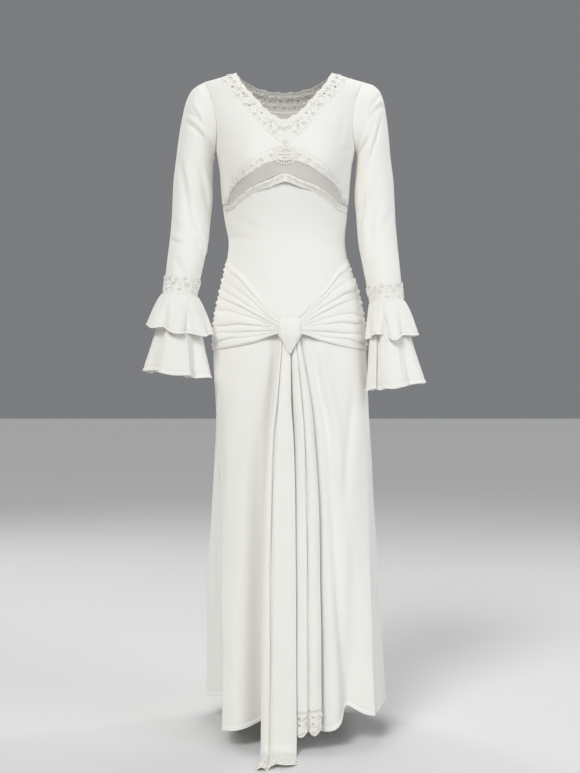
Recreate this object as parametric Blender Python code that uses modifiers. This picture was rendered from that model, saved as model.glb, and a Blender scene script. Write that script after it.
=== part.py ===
"""White maxi dress: long flounced sleeves, lace V neck, sheer under-bust crescent and a knotted hip sash.

The dress keeps its hollow worn form. The front faces -Y, +X is the wearer's left, and the origin lies
on the shoulder line, where the dress is held. Lengths below are in millimetres; meshes are in metres.
"""
import math
from collections import namedtuple

import bmesh
import bpy
from mathutils import Vector

MM = 0.001

# Driving sizes of the garment
CLOTH = 1.2
LACE = 1.0
SEAM = 0.34
SHOULDER_SEAM = 0.9
ARMHOLE_SEAM = 1.5
OVERLAY = 0.5
HEM_DROP = 1370
FLOOR_DROP = 1409
HIP_SEAM_SIDE = 578
HIP_SEAM_CENTRE = 553
UNDERARM_DROP = 166
SHOULDER_DROP = 60
SHOULDER_TIP = 172
SHOULDER_SLOPE_START = 84
SHOULDER_SLOPE_END = 180
SHOULDER_HIGH = 8
SHOULDER_FALL = 20
SHOULDER_FADE = 150

# Body of the dress: rings of the worn form from the shoulder line to the hem
Ring = namedtuple("Ring", "drop half front back shift square")
BODY = (
    Ring(0, SHOULDER_TIP, 66, 60, 1, 3.2),
    Ring(40, 174, 72, 66, 1, 3.1),
    Ring(80, 170, 82, 76, 1, 2.9),
    Ring(120, 160, 93, 86, 2, 2.6),
    Ring(166, 149, 100, 93, 4, 2.4),
    Ring(205, 142, 101, 95, 4, 2.3),
    Ring(268, 137, 95, 89, 4, 2.2),
    Ring(320, 130, 86, 81, 5, 2.2),
    Ring(362, 125, 82, 79, 7, 2.2),
    Ring(419, 134, 86, 88, 9, 2.3),
    Ring(462, 147, 91, 99, 12, 2.3),
    Ring(527, 160, 97, 114, 12, 2.35),
    Ring(592, 164, 101, 121, 13, 2.4),
    Ring(700, 166, 108, 121, 16, 2.5),
    Ring(829, 170, 116, 127, 19, 2.65),
    Ring(916, 173, 121, 135, 20, 2.75),
    Ring(1045, 178, 129, 148, 22, 2.9),
    Ring(1132, 182, 134, 158, 23, 3.0),
    Ring(1261, 187, 142, 173, 25, 3.0),
    Ring(1400, 192, 150, 188, 27, 3.0),
)

# Cups of the bodice front
CUP_ACROSS = 76
CUP_DROP = 214
CUP_WIDE = 46
CUP_TALL = 50
CUP_HEIGHT = 22


def smooth(value, start, end):
    """0 before start, 1 after end, with an even slope into both."""
    share = min(1.0, max(0.0, (value - start) / (end - start)))
    return share * share * (3 - 2 * share)


def mix(first, second, share):
    return first + (second - first) * share


def read(rows, at, column):
    """Reads one column of a table at a place between its rows, along a smooth curve."""
    if at <= rows[0][0]:
        return getattr(rows[0], column)
    if at >= rows[-1][0]:
        return getattr(rows[-1], column)
    index = next(number for number in range(1, len(rows)) if rows[number][0] >= at)
    lower, upper = rows[index - 1], rows[index]
    before = rows[max(0, index - 2)]
    after = rows[min(len(rows) - 1, index + 1)]
    span = upper[0] - lower[0]
    share = (at - lower[0]) / span
    low, high = getattr(lower, column), getattr(upper, column)
    start = (high - getattr(before, column)) / (upper[0] - before[0]) * span
    end = (getattr(after, column) - low) / (after[0] - lower[0]) * span
    square, cube = share * share, share * share * share
    return (low * (2 * cube - 3 * square + 1) + start * (cube - 2 * square + share)
            + high * (3 * square - 2 * cube) + end * (cube - square))


def roof(drop):
    """Share of its depth that the form has near the shoulder line, rounded like a roof ridge."""
    rise = 1 - min(1.0, max(0.0, drop / SHOULDER_DROP))
    return math.sqrt(max(0.0, 1 - rise * rise))


def shoulder_rise(across, drop):
    """How far a point near the shoulder line stands above its drop, highest at the neck."""
    slope = SHOULDER_HIGH - SHOULDER_FALL * smooth(abs(across), SHOULDER_SLOPE_START, SHOULDER_SLOPE_END)
    return slope * (1 - smooth(drop, 0, SHOULDER_FADE))


def ring_round(turn, square):
    """Size of a rounded square of half width 1 in the direction of a turn."""
    side = abs(math.sin(turn)) ** square + abs(math.cos(turn)) ** square
    return side ** (-1 / square)


def cup(across, drop):
    """How far the cups stand out at a place on the bodice front."""
    wide = (abs(across) - CUP_ACROSS) / CUP_WIDE
    tall = (drop - CUP_DROP) / CUP_TALL
    return CUP_HEIGHT * math.exp(-wide * wide - tall * tall)


def body(turn, drop, out=0.0):
    """A point of the worn form. A turn of 0 is the centre front and +90 degrees the wearer's left."""
    half = read(BODY, drop, "half")
    depth = read(BODY, drop, "front" if math.cos(turn) > 0 else "back") * roof(drop)
    size = ring_round(turn, read(BODY, drop, "square"))
    across = half * size * math.sin(turn)
    deep = depth * size * math.cos(turn)
    if math.cos(turn) > 0:
        deep += cup(across, drop) * math.cos(turn) ** 0.5
    point = Vector((across + read(BODY, drop, "shift"), -deep, shoulder_rise(across, drop) - drop))
    if out:
        point += normal_at(body, turn, drop) * out
    return point


def normal_at(surface, turn, drop):
    """The outward direction of a surface given by turn and drop."""
    step = 0.004
    low = max(drop, 1.0)
    along = surface(turn + step, low) - surface(turn - step, low)
    down = surface(turn, low + 1) - surface(turn, low - 1)
    return down.cross(along).normalized()


def turn_of(share, square):
    """The turn between -90 and 90 degrees at which a rounded square reaches a share of its half width."""
    low, high = -math.pi / 2, math.pi / 2
    for _ in range(40):
        middle = (low + high) / 2
        if ring_round(middle, square) * math.sin(middle) < share:
            low = middle
        else:
            high = middle
    return (low + high) / 2


def turn_at(across, drop):
    """The turn at which the front of the form lies some way to the left of its centre line."""
    share = min(1.0, across / read(BODY, drop, "half"))
    return turn_of(share, read(BODY, drop, "square"))


# Edges of the neck, measured from the centre: the V cut of the cloth and the inner edge of its lace
NeckPoint = namedtuple("NeckPoint", "share across drop")
NECK_CLOTH = (
    NeckPoint(0.0, 146, 0),
    NeckPoint(0.25, 120, 46),
    NeckPoint(0.5, 86, 88),
    NeckPoint(0.75, 44, 132),
    NeckPoint(1.0, 0, 177),
)
NECK_LACE = (
    NeckPoint(0.0, 104, 0),
    NeckPoint(0.25, 88, 36),
    NeckPoint(0.5, 62, 66),
    NeckPoint(0.75, 32, 98),
    NeckPoint(1.0, 0, 116),
)
BACK_NECK_CLOTH_DROP = 62
BACK_NECK_LACE_DROP = 26
NECK_CENTRE_GAP = 0.15

# Bands across the front below the cups, by how far round the form they are. The first row mirrors the
# third, so that the bands are level at the centre.
Band = namedtuple("Band", "turn lace_top sheer_top sheer_bottom lace_bottom")
BANDS = (
    Band(-14, 185, 209, 243, 259),
    Band(0, 177, 203, 230, 248),
    Band(14, 185, 209, 243, 259),
    Band(28, 206, 228, 255, 270),
    Band(42, 225, 243, 272, 286),
    Band(50, 240, 254, 284, 295),
    Band(56, 256, 267, 288, 298),
    Band(62, 270, 280, 288, 299),
    Band(75, 275, 282, 288, 299),
    Band(90, 272, 279, 285, 296),
)

# Hip wraps, by how far round the form they are
WrapEdge = namedtuple("WrapEdge", "turn top bottom")
WRAP_EDGES = (
    WrapEdge(0, 536, 562),
    WrapEdge(10, 526, 565),
    WrapEdge(25.5, 474, 580),
    WrapEdge(47, 424, 591),
    WrapEdge(75, 400, 593),
    WrapEdge(90, 397, 593),
)
SIDE_GATHERS = 17
WRAP_FOLDS = 8.5
WRAP_FOLD_HEIGHT = 3.2
WRAP_FOLD_AT_KNOT = 0.2
WRAP_FOLD_FULL = 0.35
WRAP_FOLD_END = 0.72
WRAP_FOLD_SHARE = 0.6
SIDE_GATHER_HEIGHT = 1.8
WRAP_CLEAR = 2.7

# Knot of the sash
KNOT_ACROSS = 13.5
KNOT_TOP = 527
KNOT_BOTTOM = 604
KNOT_TUCK = 0.5
KNOT_SQUARE = 0.75
KNOT_SEGMENTS = 14
KNOT_RINGS = 10
KnotRow = namedtuple("KnotRow", "drop half base front")
KNOT = (
    KnotRow(527, 21, 1.6, 14),
    KnotRow(545, 22.8, 1.6, 24),
    KnotRow(560, 21.5, 2.0, 26),
    KnotRow(567, 19.5, 10.3, 26),
    KnotRow(585, 12, 11.6, 22),
    KnotRow(604, 4, 12.8, 17),
)

# Folds of the skirt, and the places where its hem is lifted
Fold = namedtuple("Fold", "turn wide deep start full")
FOLDS = (
    Fold(-82, 26, -36, 580, 1370),
    Fold(-61, 8, -8, 700, 1370),
    Fold(-48, 8, 8, 560, 1370),
    Fold(-36, 7, 7, 640, 1370),
    Fold(-23, 6, -34, 660, 1370),
    Fold(13, 5, -10, 660, 1370),
    Fold(24, 6, 6, 700, 1370),
    Fold(35, 7, -30, 980, 1370),
    Fold(50, 7, 9, 860, 1370),
    Fold(74, 8, -8, 800, 1370),
    Fold(104, 9, 9, 700, 1370),
    Fold(124, 8, -12, 720, 1370),
    Fold(141, 9, 12, 650, 1370),
    Fold(160, 8, -15, 740, 1370),
    Fold(179, 9, 12, 680, 1370),
    Fold(197, 8, -16, 760, 1370),
    Fold(216, 9, 9, 660, 1370),
    Fold(240, 12, 26, 600, 1050),
)
FOLD_GROWTH = 1.2
Lift = namedtuple("Lift", "turn wide rise")
LIFTS = (
    Lift(-58, 14, -8),
    Lift(34, 8, 42),
    Lift(58, 12, 20),
    Lift(85, 13, 40),
    Lift(-20, 9, 20),
    Lift(197, 7, 6),
    Lift(246, 16, 12),
)

# Sash tails: side edges along their way down from the knot
TailEdge = namedtuple("TailEdge", "way low high clear")
TAIL_RIGHT = (
    TailEdge(0, -5, 12, 6),
    TailEdge(32, -10, 15, 8),
    TailEdge(140, -22, 17, 14),
    TailEdge(200, -31, 21, 15),
    TailEdge(350, -40, 25, 15),
    TailEdge(740, -44, 27, 15),
    TailEdge(860, -46, 27, 15),
    TailEdge(980, -54, 22, 15),
)
TAIL_LEFT = (
    TailEdge(0, 15, 32, 6),
    TailEdge(32, 17, 40, 6.5),
    TailEdge(140, 20, 58, 7),
    TailEdge(200, 22, 64, 7.5),
    TailEdge(350, 22, 73, 8),
    TailEdge(760, 22, 78, 8),
)
TailFold = namedtuple("TailFold", "share height")
TAIL_RIGHT_FOLDS = (
    TailFold(0.0, 0.5),
    TailFold(0.12, 6),
    TailFold(0.27, 1),
    TailFold(0.5, 7),
    TailFold(0.8, 6),
    TailFold(1.0, 1),
)
TAIL_LEFT_FOLDS = (
    TailFold(0.0, 0),
    TailFold(0.25, 1),
    TailFold(0.5, 7),
    TailFold(0.65, 3),
    TailFold(0.82, 7),
    TailFold(1.0, 1),
)
TAIL_TOP = 571
TAIL_FLAT_TOP = 0.45
TAIL_FLAT_TO = 160
TAIL_LEFT_LENGTH = 758
TAIL_RIGHT_SLANT = 30
TAIL_LEFT_SLANT = 8
TAIL_FLOOR_RUN = 30
TAIL_BEND = 22
TAIL_LACE = 46
TAIL_LACE_NOTCH = 0.72
TAIL_LACE_ROWS = 7

# Sleeve sections from the armhole to the wrist, for the wearer's left
SleeveRing = namedtuple("SleeveRing", "row outer_across outer_drop inner_across inner_drop deep middle shift")
SLEEVE = (
    SleeveRing(1, 189, 20, 153, 174, 54, 0, 5),
    SleeveRing(2, 203, 33, 154, 181, 54, 0, 4),
    SleeveRing(3, 213, 56, 155, 191, 53, 0, 3),
    SleeveRing(4, 220, 90, 155, 204, 51, -1, 2),
    SleeveRing(5, 226, 130, 155, 222, 49, -2, 1),
    SleeveRing(6, 231, 175, 154, 246, 47, -3, 0),
    SleeveRing(7, 237, 225, 154, 272, 46, -4, 0),
    SleeveRing(8, 239, 270, 157, 300, 45, -6, 0),
    SleeveRing(9, 240, 312, 159, 328, 44, -12, 0),
    SleeveRing(10, 243, 357, 162, 364, 42, -22, 0),
    SleeveRing(11, 247, 402, 169, 404, 39, -36, 0),
    SleeveRing(12, 250, 444, 177, 447, 36, -50, 0),
    SleeveRing(13, 252, 479, 184, 486, 34, -60, 0),
)
ARMHOLE_SCOOP = 0.13
SLEEVE_SEAM_TURN = 0.016
LEFT_ARM_LONGER = 15
UNDERARM_CLEAR = 1.8
CUFF_LACE_HIGH = 31
CUFF_LACE_OUT = 1.7
CUFF_LACE_END = 0.16
CUFF_LACE_ROWS = 2

# Flounces, two tiers on each wrist
Flounce = namedtuple("Flounce", "name side seam_in across half deep outer_drop inner_drop waves phase flare")
FLOUNCES = (
    Flounce("flounce_upper_right", -1, 4, 219, 73, 50, 537, 559, 8, 2.4, 0.8),
    Flounce("flounce_lower_right", -1, -0.1, 225, 74, 48, 636, 652, 7, 0.6, 1.25),
    Flounce("flounce_upper_left", 1, 4, 230, 58, 47, 558, 571, 8, 2.6, 0.8),
    Flounce("flounce_lower_left", 1, -0.1, 239, 64, 47, 662, 677, 7, 0.4, 1.3),
)
FLOUNCE_WAVE = 9.0
FLOUNCE_PRESSED = 0.25
FLOUNCE_FULL = 0.8
WRIST_MIDDLE = -64

# Faces along and across each kind of piece
FRONT_COLUMNS = 12
ARMHOLE_ROWS = 9
SIDE_ROWS = 5
BACK_COLUMNS = 20
BACK_SHOULDER_SHARE = 0.15
BACK_SIDE_ROWS = 9
MIDRIFF_ROWS = 8
SKIRT_COLUMNS = 30
SKIRT_ROWS = 10
WRAP_COLUMNS = 7
TAIL_COLUMNS = 8
FLOUNCE_COLUMNS = 36
FLOUNCE_ROWS = 3
TAIL_ROWS = 18
TAIL_ROWS_HANG = 14
NECK_SCALLOP = 3.5
BACK_NECK_CURVE = 2.4

# Finishes: linear colours of the three cloths
JERSEY_COLOUR = (0.86, 0.85, 0.82)
LACE_COLOUR = (0.88, 0.86, 0.80)
SHEER_COLOUR = (0.70, 0.64, 0.62)
CLOTH_ROUGHNESS = 0.75
SHEER_COVER = 0.6


def blend(top, bottom, low, high, u, v, reach=(1.0, 1.0)):
    """Fills a panel from its four edges, each of which gives turn and drop. The side edges are felt as
    far in as the reach, a share of the panel's width for turn and for drop."""
    result = []
    for axis in (0, 1):
        low_bend = low(v)[axis] - mix(top(0)[axis], bottom(0)[axis], v)
        high_bend = high(v)[axis] - mix(top(1)[axis], bottom(1)[axis], v)
        sides = low_bend * max(0.0, 1 - u / reach[axis]) + high_bend * max(0.0, 1 - (1 - u) / reach[axis])
        result.append(mix(top(u)[axis], bottom(u)[axis], v) + sides)
    return result


def width_at(turn, drop):
    """Share of the form's half width at a turn and a drop."""
    return ring_round(turn, read(BODY, drop, "square")) * math.sin(turn)


def neck_edge(table, share):
    """Turn and drop on the left half of the neck, from the shoulder to the centre front."""
    drop = read(table, share, "drop")
    return turn_at(max(NECK_CENTRE_GAP, read(table, share, "across")), drop), drop


def armhole(share):
    """Turn and drop on the front edge of the left armhole, from the shoulder tip to the underarm."""
    angle = math.pi * share
    drop = UNDERARM_DROP * (1 - math.cos(angle)) / 2
    reach = 1 - ARMHOLE_SCOOP * math.sin(angle) ** 2
    if share <= 0 or share >= 1:
        return math.pi / 2, drop
    return turn_of(reach, read(BODY, drop, "square")), drop


def band(turn, column):
    return read(BANDS, abs(math.degrees(turn)), column)


def hip_seam(turn):
    """The seam between bodice and skirt, a little higher at the centre front."""
    return mix(HIP_SEAM_CENTRE, HIP_SEAM_SIDE, smooth(abs(turn), 0, math.radians(70)))


def away(turn, degrees):
    """Distance between two directions, in degrees, the short way round."""
    return (math.degrees(turn) - degrees + 180) % 360 - 180


def hem(turn):
    """Drop of the skirt's hem."""
    return HEM_DROP - sum(lift.rise * math.exp(-(away(turn, lift.turn) / lift.wide) ** 2) for lift in LIFTS)


def skirt(turn, drop):
    """A point of the skirt: the worn form with its folds, which deepen towards the hem."""
    point = body(turn, drop)
    push = 0.0
    for fold in FOLDS:
        grown = min(1.0, max(0.0, (drop - fold.start) / (fold.full - fold.start))) ** FOLD_GROWTH
        push += fold.deep * grown * math.exp(-(away(turn, fold.turn) / fold.wide) ** 2)
    return point + Vector((math.sin(turn), -math.cos(turn), 0)) * push


def tail_path(way, clear, floor_run):
    """A place along a sash tail and the direction out of its face: down, round a bend, then forward."""
    hang = FLOOR_DROP - TAIL_BEND - TAIL_TOP if floor_run else way + 1
    fall = min(way, hang)
    drop = TAIL_TOP + fall
    deep = -read(BODY, drop, "front") - clear
    if way <= hang:
        return Vector((0, deep, -drop)), Vector((0, -1, 0))
    angle = min(math.pi / 2, (way - hang) / TAIL_BEND)
    ahead = max(0.0, way - hang - TAIL_BEND * math.pi / 2)
    lowest = -FLOOR_DROP + CLOTH / 2 + 0.1
    forward = deep - TAIL_BEND * (1 - math.cos(angle)) - ahead
    high = lowest + TAIL_BEND * (1 - math.sin(angle))
    return Vector((0, forward, high)), Vector((0, -math.cos(angle), math.sin(angle)))


def tail(edges, folds, floor_run, share, way):
    """A point of a sash tail, share of the way across and some way down."""
    point, out = tail_path(way, read(edges, way, "clear"), floor_run)
    across = mix(read(edges, way, "low"), read(edges, way, "high"), share)
    height = read(folds, share, "height") * mix(TAIL_FLAT_TOP, 1.0, smooth(way, 0, TAIL_FLAT_TO))
    return point + Vector((across, 0, 0)) + out * height


def sleeve(side, angle, row):
    """A point of a sleeve. An angle of 0 is the outside of the arm, and 90 degrees its front."""
    if row < 1:
        share = abs(angle) / math.pi
        turn, drop = armhole(share)
        turn = turn if angle >= 0 else math.pi - turn
        turn = turn if side > 0 else -turn
        start = body(turn, drop, UNDERARM_CLEAR * smooth(share, 0.55, 0.95))
        return start.lerp(sleeve(side, angle, 1), row)
    longer = LEFT_ARM_LONGER * smooth(row, 8, 13) if side > 0 else 0
    outer = Vector((read(SLEEVE, row, "outer_across"), 0, -read(SLEEVE, row, "outer_drop") - longer))
    inner = Vector((read(SLEEVE, row, "inner_across"), 0, -read(SLEEVE, row, "inner_drop") - longer))
    point = (outer + inner) / 2 + (outer - inner) / 2 * math.cos(angle)
    point.x = side * point.x + read(SLEEVE, row, "shift")
    point.y = read(SLEEVE, row, "middle") - read(SLEEVE, row, "deep") * math.sin(angle)
    return point


def sleeve_middle(side, row):
    """The middle of a sleeve at one of its rows."""
    return sleeve(side, 0, row).lerp(sleeve(side, math.pi, row), 0.5)


def flounce(item, angle, share):
    """A point of a wrist flounce, from its seam on the sleeve's end down to its hem."""
    last = SLEEVE[-1].row
    row = last - max(0, item.seam_in) / (SLEEVE[-1].outer_drop - SLEEVE[-2].outer_drop)
    start = sleeve(item.side, angle, row)
    grow = CLOTH + OVERLAY if item.seam_in > 0 else 0.0
    start = start + (start - sleeve_middle(item.side, row)).normalized() * grow
    start = start + Vector((0, 0, min(0, item.seam_in)))
    pressed = mix(FLOUNCE_PRESSED, 1.0, (1 + math.cos(angle)) / 2)
    height = math.cos(item.waves * angle + item.phase) * pressed * smooth(share, 0, FLOUNCE_FULL)
    wave = 1 + FLOUNCE_WAVE / item.half * height
    end_drop = mix(item.outer_drop, item.inner_drop, (1 - math.cos(angle)) / 2)
    end = Vector((item.side * (item.across + item.half * wave * math.cos(angle)),
                  WRIST_MIDDLE - item.deep * wave * math.sin(angle), -end_drop))
    spread = share ** item.flare
    return Vector((mix(start.x, end.x, spread), mix(start.y, end.y, spread), mix(start.z, end.z, share)))


def material(name, colour, cover=1.0):
    """A plain cloth finish."""
    finish = bpy.data.materials.new(name)
    finish.use_nodes = True
    shader = finish.node_tree.nodes["Principled BSDF"]
    shader.inputs["Base Color"].default_value = (*colour, 1.0)
    shader.inputs["Roughness"].default_value = CLOTH_ROUGHNESS
    shader.inputs["Metallic"].default_value = 0.0
    shader.inputs["Alpha"].default_value = cover
    return finish


def add_piece(collection, name, mesh, finish):
    """Puts a finished mesh into the garment's collection as one named piece."""
    mesh.shade_smooth()
    piece = bpy.data.objects.new(name, mesh)
    mesh.materials.append(finish)
    collection.objects.link(piece)
    return piece


def pull_in(points, columns, rows, closed, top_seam):
    """Draws the open edges of a panel in by half a seam, towards the panel's middle."""
    moved = {}
    for (column, row), point in points.items():
        shift = Vector((0, 0, 0))
        for edge, inward in ((column == 0, (1, 0)), (column == columns, (-1, 0)), (row == 0, (0, 1)),
                             (row == rows, (0, -1))):
            if edge and not (closed and inward[0]):
                toward = points[column + inward[0], row + inward[1]] - point
                shift += toward.normalized() * (top_seam if row == 0 and inward[1] else SEAM) / 2
        moved[column, row] = point + shift
    return moved


def sheet(collection, name, columns, rows, place, wall, finish, closed=False, gaps=(), top_seam=SEAM):
    """A cloth wall over a grid. Place gives a point from two shares, and gaps lists faces left out."""
    points = {(column, row): place(column / columns, row / rows)
              for column in range(columns + 1) for row in range(rows + 1)}
    points = pull_in(points, columns, rows, closed, top_seam)
    grid = bmesh.new()
    bmesh.ops.create_grid(grid, x_segments=columns, y_segments=rows, size=0.5)
    for face in [face for face in grid.faces if cell_of(face, columns, rows) in gaps]:
        grid.faces.remove(face)
    for vertex in grid.verts:
        column = round((vertex.co.x + 0.5) * columns)
        row = round((0.5 - vertex.co.y) * rows)
        vertex.co = points[column, row] * MM
    if closed:
        bmesh.ops.remove_doubles(grid, verts=grid.verts, dist=1e-6)
    mesh = bpy.data.meshes.new(name)
    grid.to_mesh(mesh)
    grid.free()
    piece = add_piece(collection, name, mesh, finish)
    shell = piece.modifiers.new("cloth wall", "SOLIDIFY")
    shell.thickness = wall * MM
    shell.offset = 0.0
    return piece


def cell_of(face, columns, rows):
    """Column and row of a face of the flat grid."""
    centre = face.calc_center_median()
    return int((centre.x + 0.5) * columns), int((0.5 - centre.y) * rows)


def bodice_front(collection, side, finish):
    """One cup of the V neck, from the shoulder to the band below it."""
    rows = ARMHOLE_ROWS + SIDE_ROWS
    split = ARMHOLE_ROWS / rows

    def neck(share):
        return neck_edge(NECK_CLOTH, share)

    def side_edge(share):
        if share < split:
            return armhole(share / split)
        down = (share - split) / (1 - split)
        return math.pi / 2, mix(UNDERARM_DROP, BANDS[-1].lace_top, down)

    def lower_edge(share):
        turn = max(neck(1)[0], math.pi / 2 * share)
        return turn, band(turn, "lace_top")

    def place(u, v):
        start, end = width_at(*lower_edge(0)), width_at(*lower_edge(1))
        share = mix(u, (width_at(*lower_edge(u)) - start) / (end - start), v)
        width = mix(width_at(*neck(v)), width_at(*side_edge(v)), share)
        low_bend = neck(v)[1] - neck(1)[1] * v
        high_bend = side_edge(v)[1] - side_edge(1)[1] * v
        drop = lower_edge(u)[1] * v + mix(low_bend, high_bend, share)
        return body(side * turn_of(width, read(BODY, drop, "square")), drop)

    name = "bodice_front_left" if side > 0 else "bodice_front_right"
    sheet(collection, name, FRONT_COLUMNS, rows, place, CLOTH, finish, top_seam=SHOULDER_SEAM)


def back_neck(share, centre_drop, across):
    """Turn and drop along the back neck edge, from the wearer's left to right."""
    aside = 2 * share - 1
    return math.pi + aside * turn_at(across, 0), centre_drop * (1 - abs(aside) ** BACK_NECK_CURVE)


def bodice_back(collection, finish):
    """The plain back, from the neck and shoulders to the hip seam."""
    rows = ARMHOLE_ROWS + BACK_SIDE_ROWS
    split = ARMHOLE_ROWS / rows
    shoulder = BACK_SHOULDER_SHARE

    def neck(share):
        return back_neck(share, BACK_NECK_CLOTH_DROP, NECK_CLOTH[0].across)

    def top(share):
        if share < shoulder:
            return mix(math.pi / 2, neck(0)[0], share / shoulder), 0.0
        if share > 1 - shoulder:
            return mix(neck(1)[0], 1.5 * math.pi, (share - 1 + shoulder) / shoulder), 0.0
        return neck((share - shoulder) / (1 - 2 * shoulder))

    def bottom(share):
        return mix(math.pi / 2, 1.5 * math.pi, share), HIP_SEAM_SIDE

    def left_side(share):
        if share < split:
            turn, drop = armhole(share / split)
            return math.pi - turn, drop
        return math.pi / 2, mix(UNDERARM_DROP, HIP_SEAM_SIDE, (share - split) / (1 - split))

    def right_side(share):
        turn, drop = left_side(share)
        return 2 * math.pi - turn, drop

    def place(u, v):
        return body(*blend(top, bottom, left_side, right_side, u, v, (shoulder, 0.5)))

    sheet(collection, "bodice_back", BACK_COLUMNS, rows, place, CLOTH, finish, top_seam=SHOULDER_SEAM)


def neck_lace(collection, side, finish):
    """The scalloped lace inside one side of the V neck."""
    columns, rows = 4, ARMHOLE_ROWS + SIDE_ROWS

    def place(u, v):
        inner = neck_edge(NECK_LACE, v)
        outer = neck_edge(NECK_CLOTH, v)
        scallop = NECK_SCALLOP * abs(math.sin(v * rows / 2 * math.pi)) * (1 - u)
        return body(side * mix(inner[0], outer[0], u), mix(inner[1], outer[1], u) + scallop)

    gaps = [(1, row) for row in range(1, rows - 1, 4)] + [(2, row) for row in range(3, rows - 1, 4)]
    name = "neck_lace_left" if side > 0 else "neck_lace_right"
    sheet(collection, name, columns, rows, place, LACE, finish, gaps=gaps, top_seam=SHOULDER_SEAM)


def neck_lace_back(collection, finish):
    """The same lace round the back of the neck."""
    columns, rows = 3, round(BACK_COLUMNS * (1 - 2 * BACK_SHOULDER_SHARE))

    def place(u, v):
        inner = back_neck(v, BACK_NECK_LACE_DROP, NECK_LACE[0].across)
        outer = back_neck(v, BACK_NECK_CLOTH_DROP, NECK_CLOTH[0].across)
        turn = mix(inner[0], outer[0], u)
        ends = SHOULDER_SEAM / 2 if v in (0, 1) else 0.0
        return body(turn, mix(inner[1], outer[1], u)) + Vector((0, ends, 0))

    gaps = [(1, row) for row in range(1, rows - 1, 2)]
    sheet(collection, "neck_lace_back", columns, rows, place, LACE, finish, gaps=gaps)


def front_band(collection, name, rows, top, bottom, wall, finish, gaps=()):
    """A piece across the whole front, between two lines that are given by turn."""
    columns = 2 * FRONT_COLUMNS

    def place(u, v):
        turn = math.pi * (u - 0.5)
        return body(turn, mix(top(turn), bottom(turn), v))

    sheet(collection, name, columns, rows, place, wall, finish, gaps=gaps)


def skirt_half(collection, name, start, hip, finish):
    """The front or back of the skirt, half way round the body from a starting turn."""

    def place(u, v):
        turn = start + math.pi * u
        return skirt(turn, mix(hip(turn), hem(turn), v))

    sheet(collection, name, SKIRT_COLUMNS, SKIRT_ROWS, place, CLOTH, finish)


def hip_wrap(collection, side, finish):
    """One side of the sash, gathered along the side seam and drawn together at the knot."""
    rows = 2 * SIDE_GATHERS
    knot_reach = max(row.half for row in KNOT) - KNOT_TUCK
    knot_side = KNOT_ACROSS - read(BODY, KNOT_TOP, "shift") + side * knot_reach
    first = turn_at(side * knot_side, KNOT_TOP) if side > 0 else -turn_at(knot_side, KNOT_TOP)

    def place(u, v):
        turn = mix(first, math.pi / 2, u)
        degrees = math.degrees(turn)
        drop = mix(read(WRAP_EDGES, degrees, "top"), read(WRAP_EDGES, degrees, "bottom"), v)
        deepest = WRAP_FOLD_SHARE * (WRAP_FOLD_AT_KNOT + WRAP_FOLD_HEIGHT * smooth(u, 0.0, WRAP_FOLD_FULL))
        at_seam = smooth(u, WRAP_FOLD_END, 1.0)
        fold = deepest * math.sin(2 * math.pi * WRAP_FOLDS * v) * (1 - at_seam)
        gather = SIDE_GATHER_HEIGHT * math.cos(rows * math.pi * v) * at_seam
        return body(side * turn, drop, WRAP_CLEAR + deepest + fold + gather)

    name = "hip_wrap_left" if side > 0 else "hip_wrap_right"
    sheet(collection, name, WRAP_COLUMNS, rows, place, CLOTH, finish)


def sash_knot(collection, finish):
    """The folded knot: flat behind, full in front, drawn to a point below."""
    knot = bmesh.new()
    bmesh.ops.create_uvsphere(knot, u_segments=KNOT_SEGMENTS, v_segments=KNOT_RINGS, radius=1.0)
    for vertex in knot.verts:
        across, forward, high = vertex.co
        drop = mix(KNOT_TOP, KNOT_BOTTOM, (1 - high) / 2)
        full = math.sqrt(max(0.0, 1 - high * high))
        swell = full ** -KNOT_SQUARE if full > 0.01 else 0.0
        base = read(BODY, drop, "front") + read(KNOT, drop, "base")
        thick = max(1.0, read(KNOT, drop, "front") - read(KNOT, drop, "base"))
        deep = base + thick * max(0.0, -forward) * swell
        vertex.co = Vector((KNOT_ACROSS + read(KNOT, drop, "half") * across * swell, -deep, -drop)) * MM
    mesh = bpy.data.meshes.new("sash_knot")
    knot.to_mesh(mesh)
    knot.free()
    add_piece(collection, "sash_knot", mesh, finish)


def sash_tail(collection, side, finish, lace_finish):
    """One tail of the sash, folded lengthwise, and the lace across its end."""
    edges, folds = (TAIL_LEFT, TAIL_LEFT_FOLDS) if side > 0 else (TAIL_RIGHT, TAIL_RIGHT_FOLDS)
    floor_run = side < 0
    word = "left" if side > 0 else "right"
    hang = FLOOR_DROP - TAIL_BEND - TAIL_TOP
    length = hang + TAIL_BEND * math.pi / 2 + TAIL_FLOOR_RUN if floor_run else TAIL_LEFT_LENGTH
    slant = TAIL_RIGHT_SLANT if floor_run else TAIL_LEFT_SLANT

    def cloth_end(share):
        return length + slant * (0.5 - share)

    def place_cloth(u, v):
        if not floor_run:
            return tail(edges, folds, floor_run, u, cloth_end(u) * v)
        rows = TAIL_ROWS_HANG / TAIL_ROWS
        if v < rows:
            return tail(edges, folds, floor_run, u, hang * v / rows)
        return tail(edges, folds, floor_run, u, mix(hang, cloth_end(u), (v - rows) / (1 - rows)))

    def place_lace(u, v):
        long = TAIL_LACE * mix(TAIL_LACE_NOTCH, 1.0, abs(math.sin(2 * math.pi * u)))
        return tail(edges, folds, floor_run, u, cloth_end(u) + long * v)

    sheet(collection, f"sash_tail_{word}", TAIL_COLUMNS, TAIL_ROWS, place_cloth, CLOTH, finish)
    gaps = [(column, row) for column in (1, 3, 5) for row in (1, 3)] + [(6, 5), (3, 5)]
    sheet(collection, f"tail_lace_{word}", TAIL_COLUMNS, TAIL_LACE_ROWS, place_lace, LACE, lace_finish,
          gaps=gaps)


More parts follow.
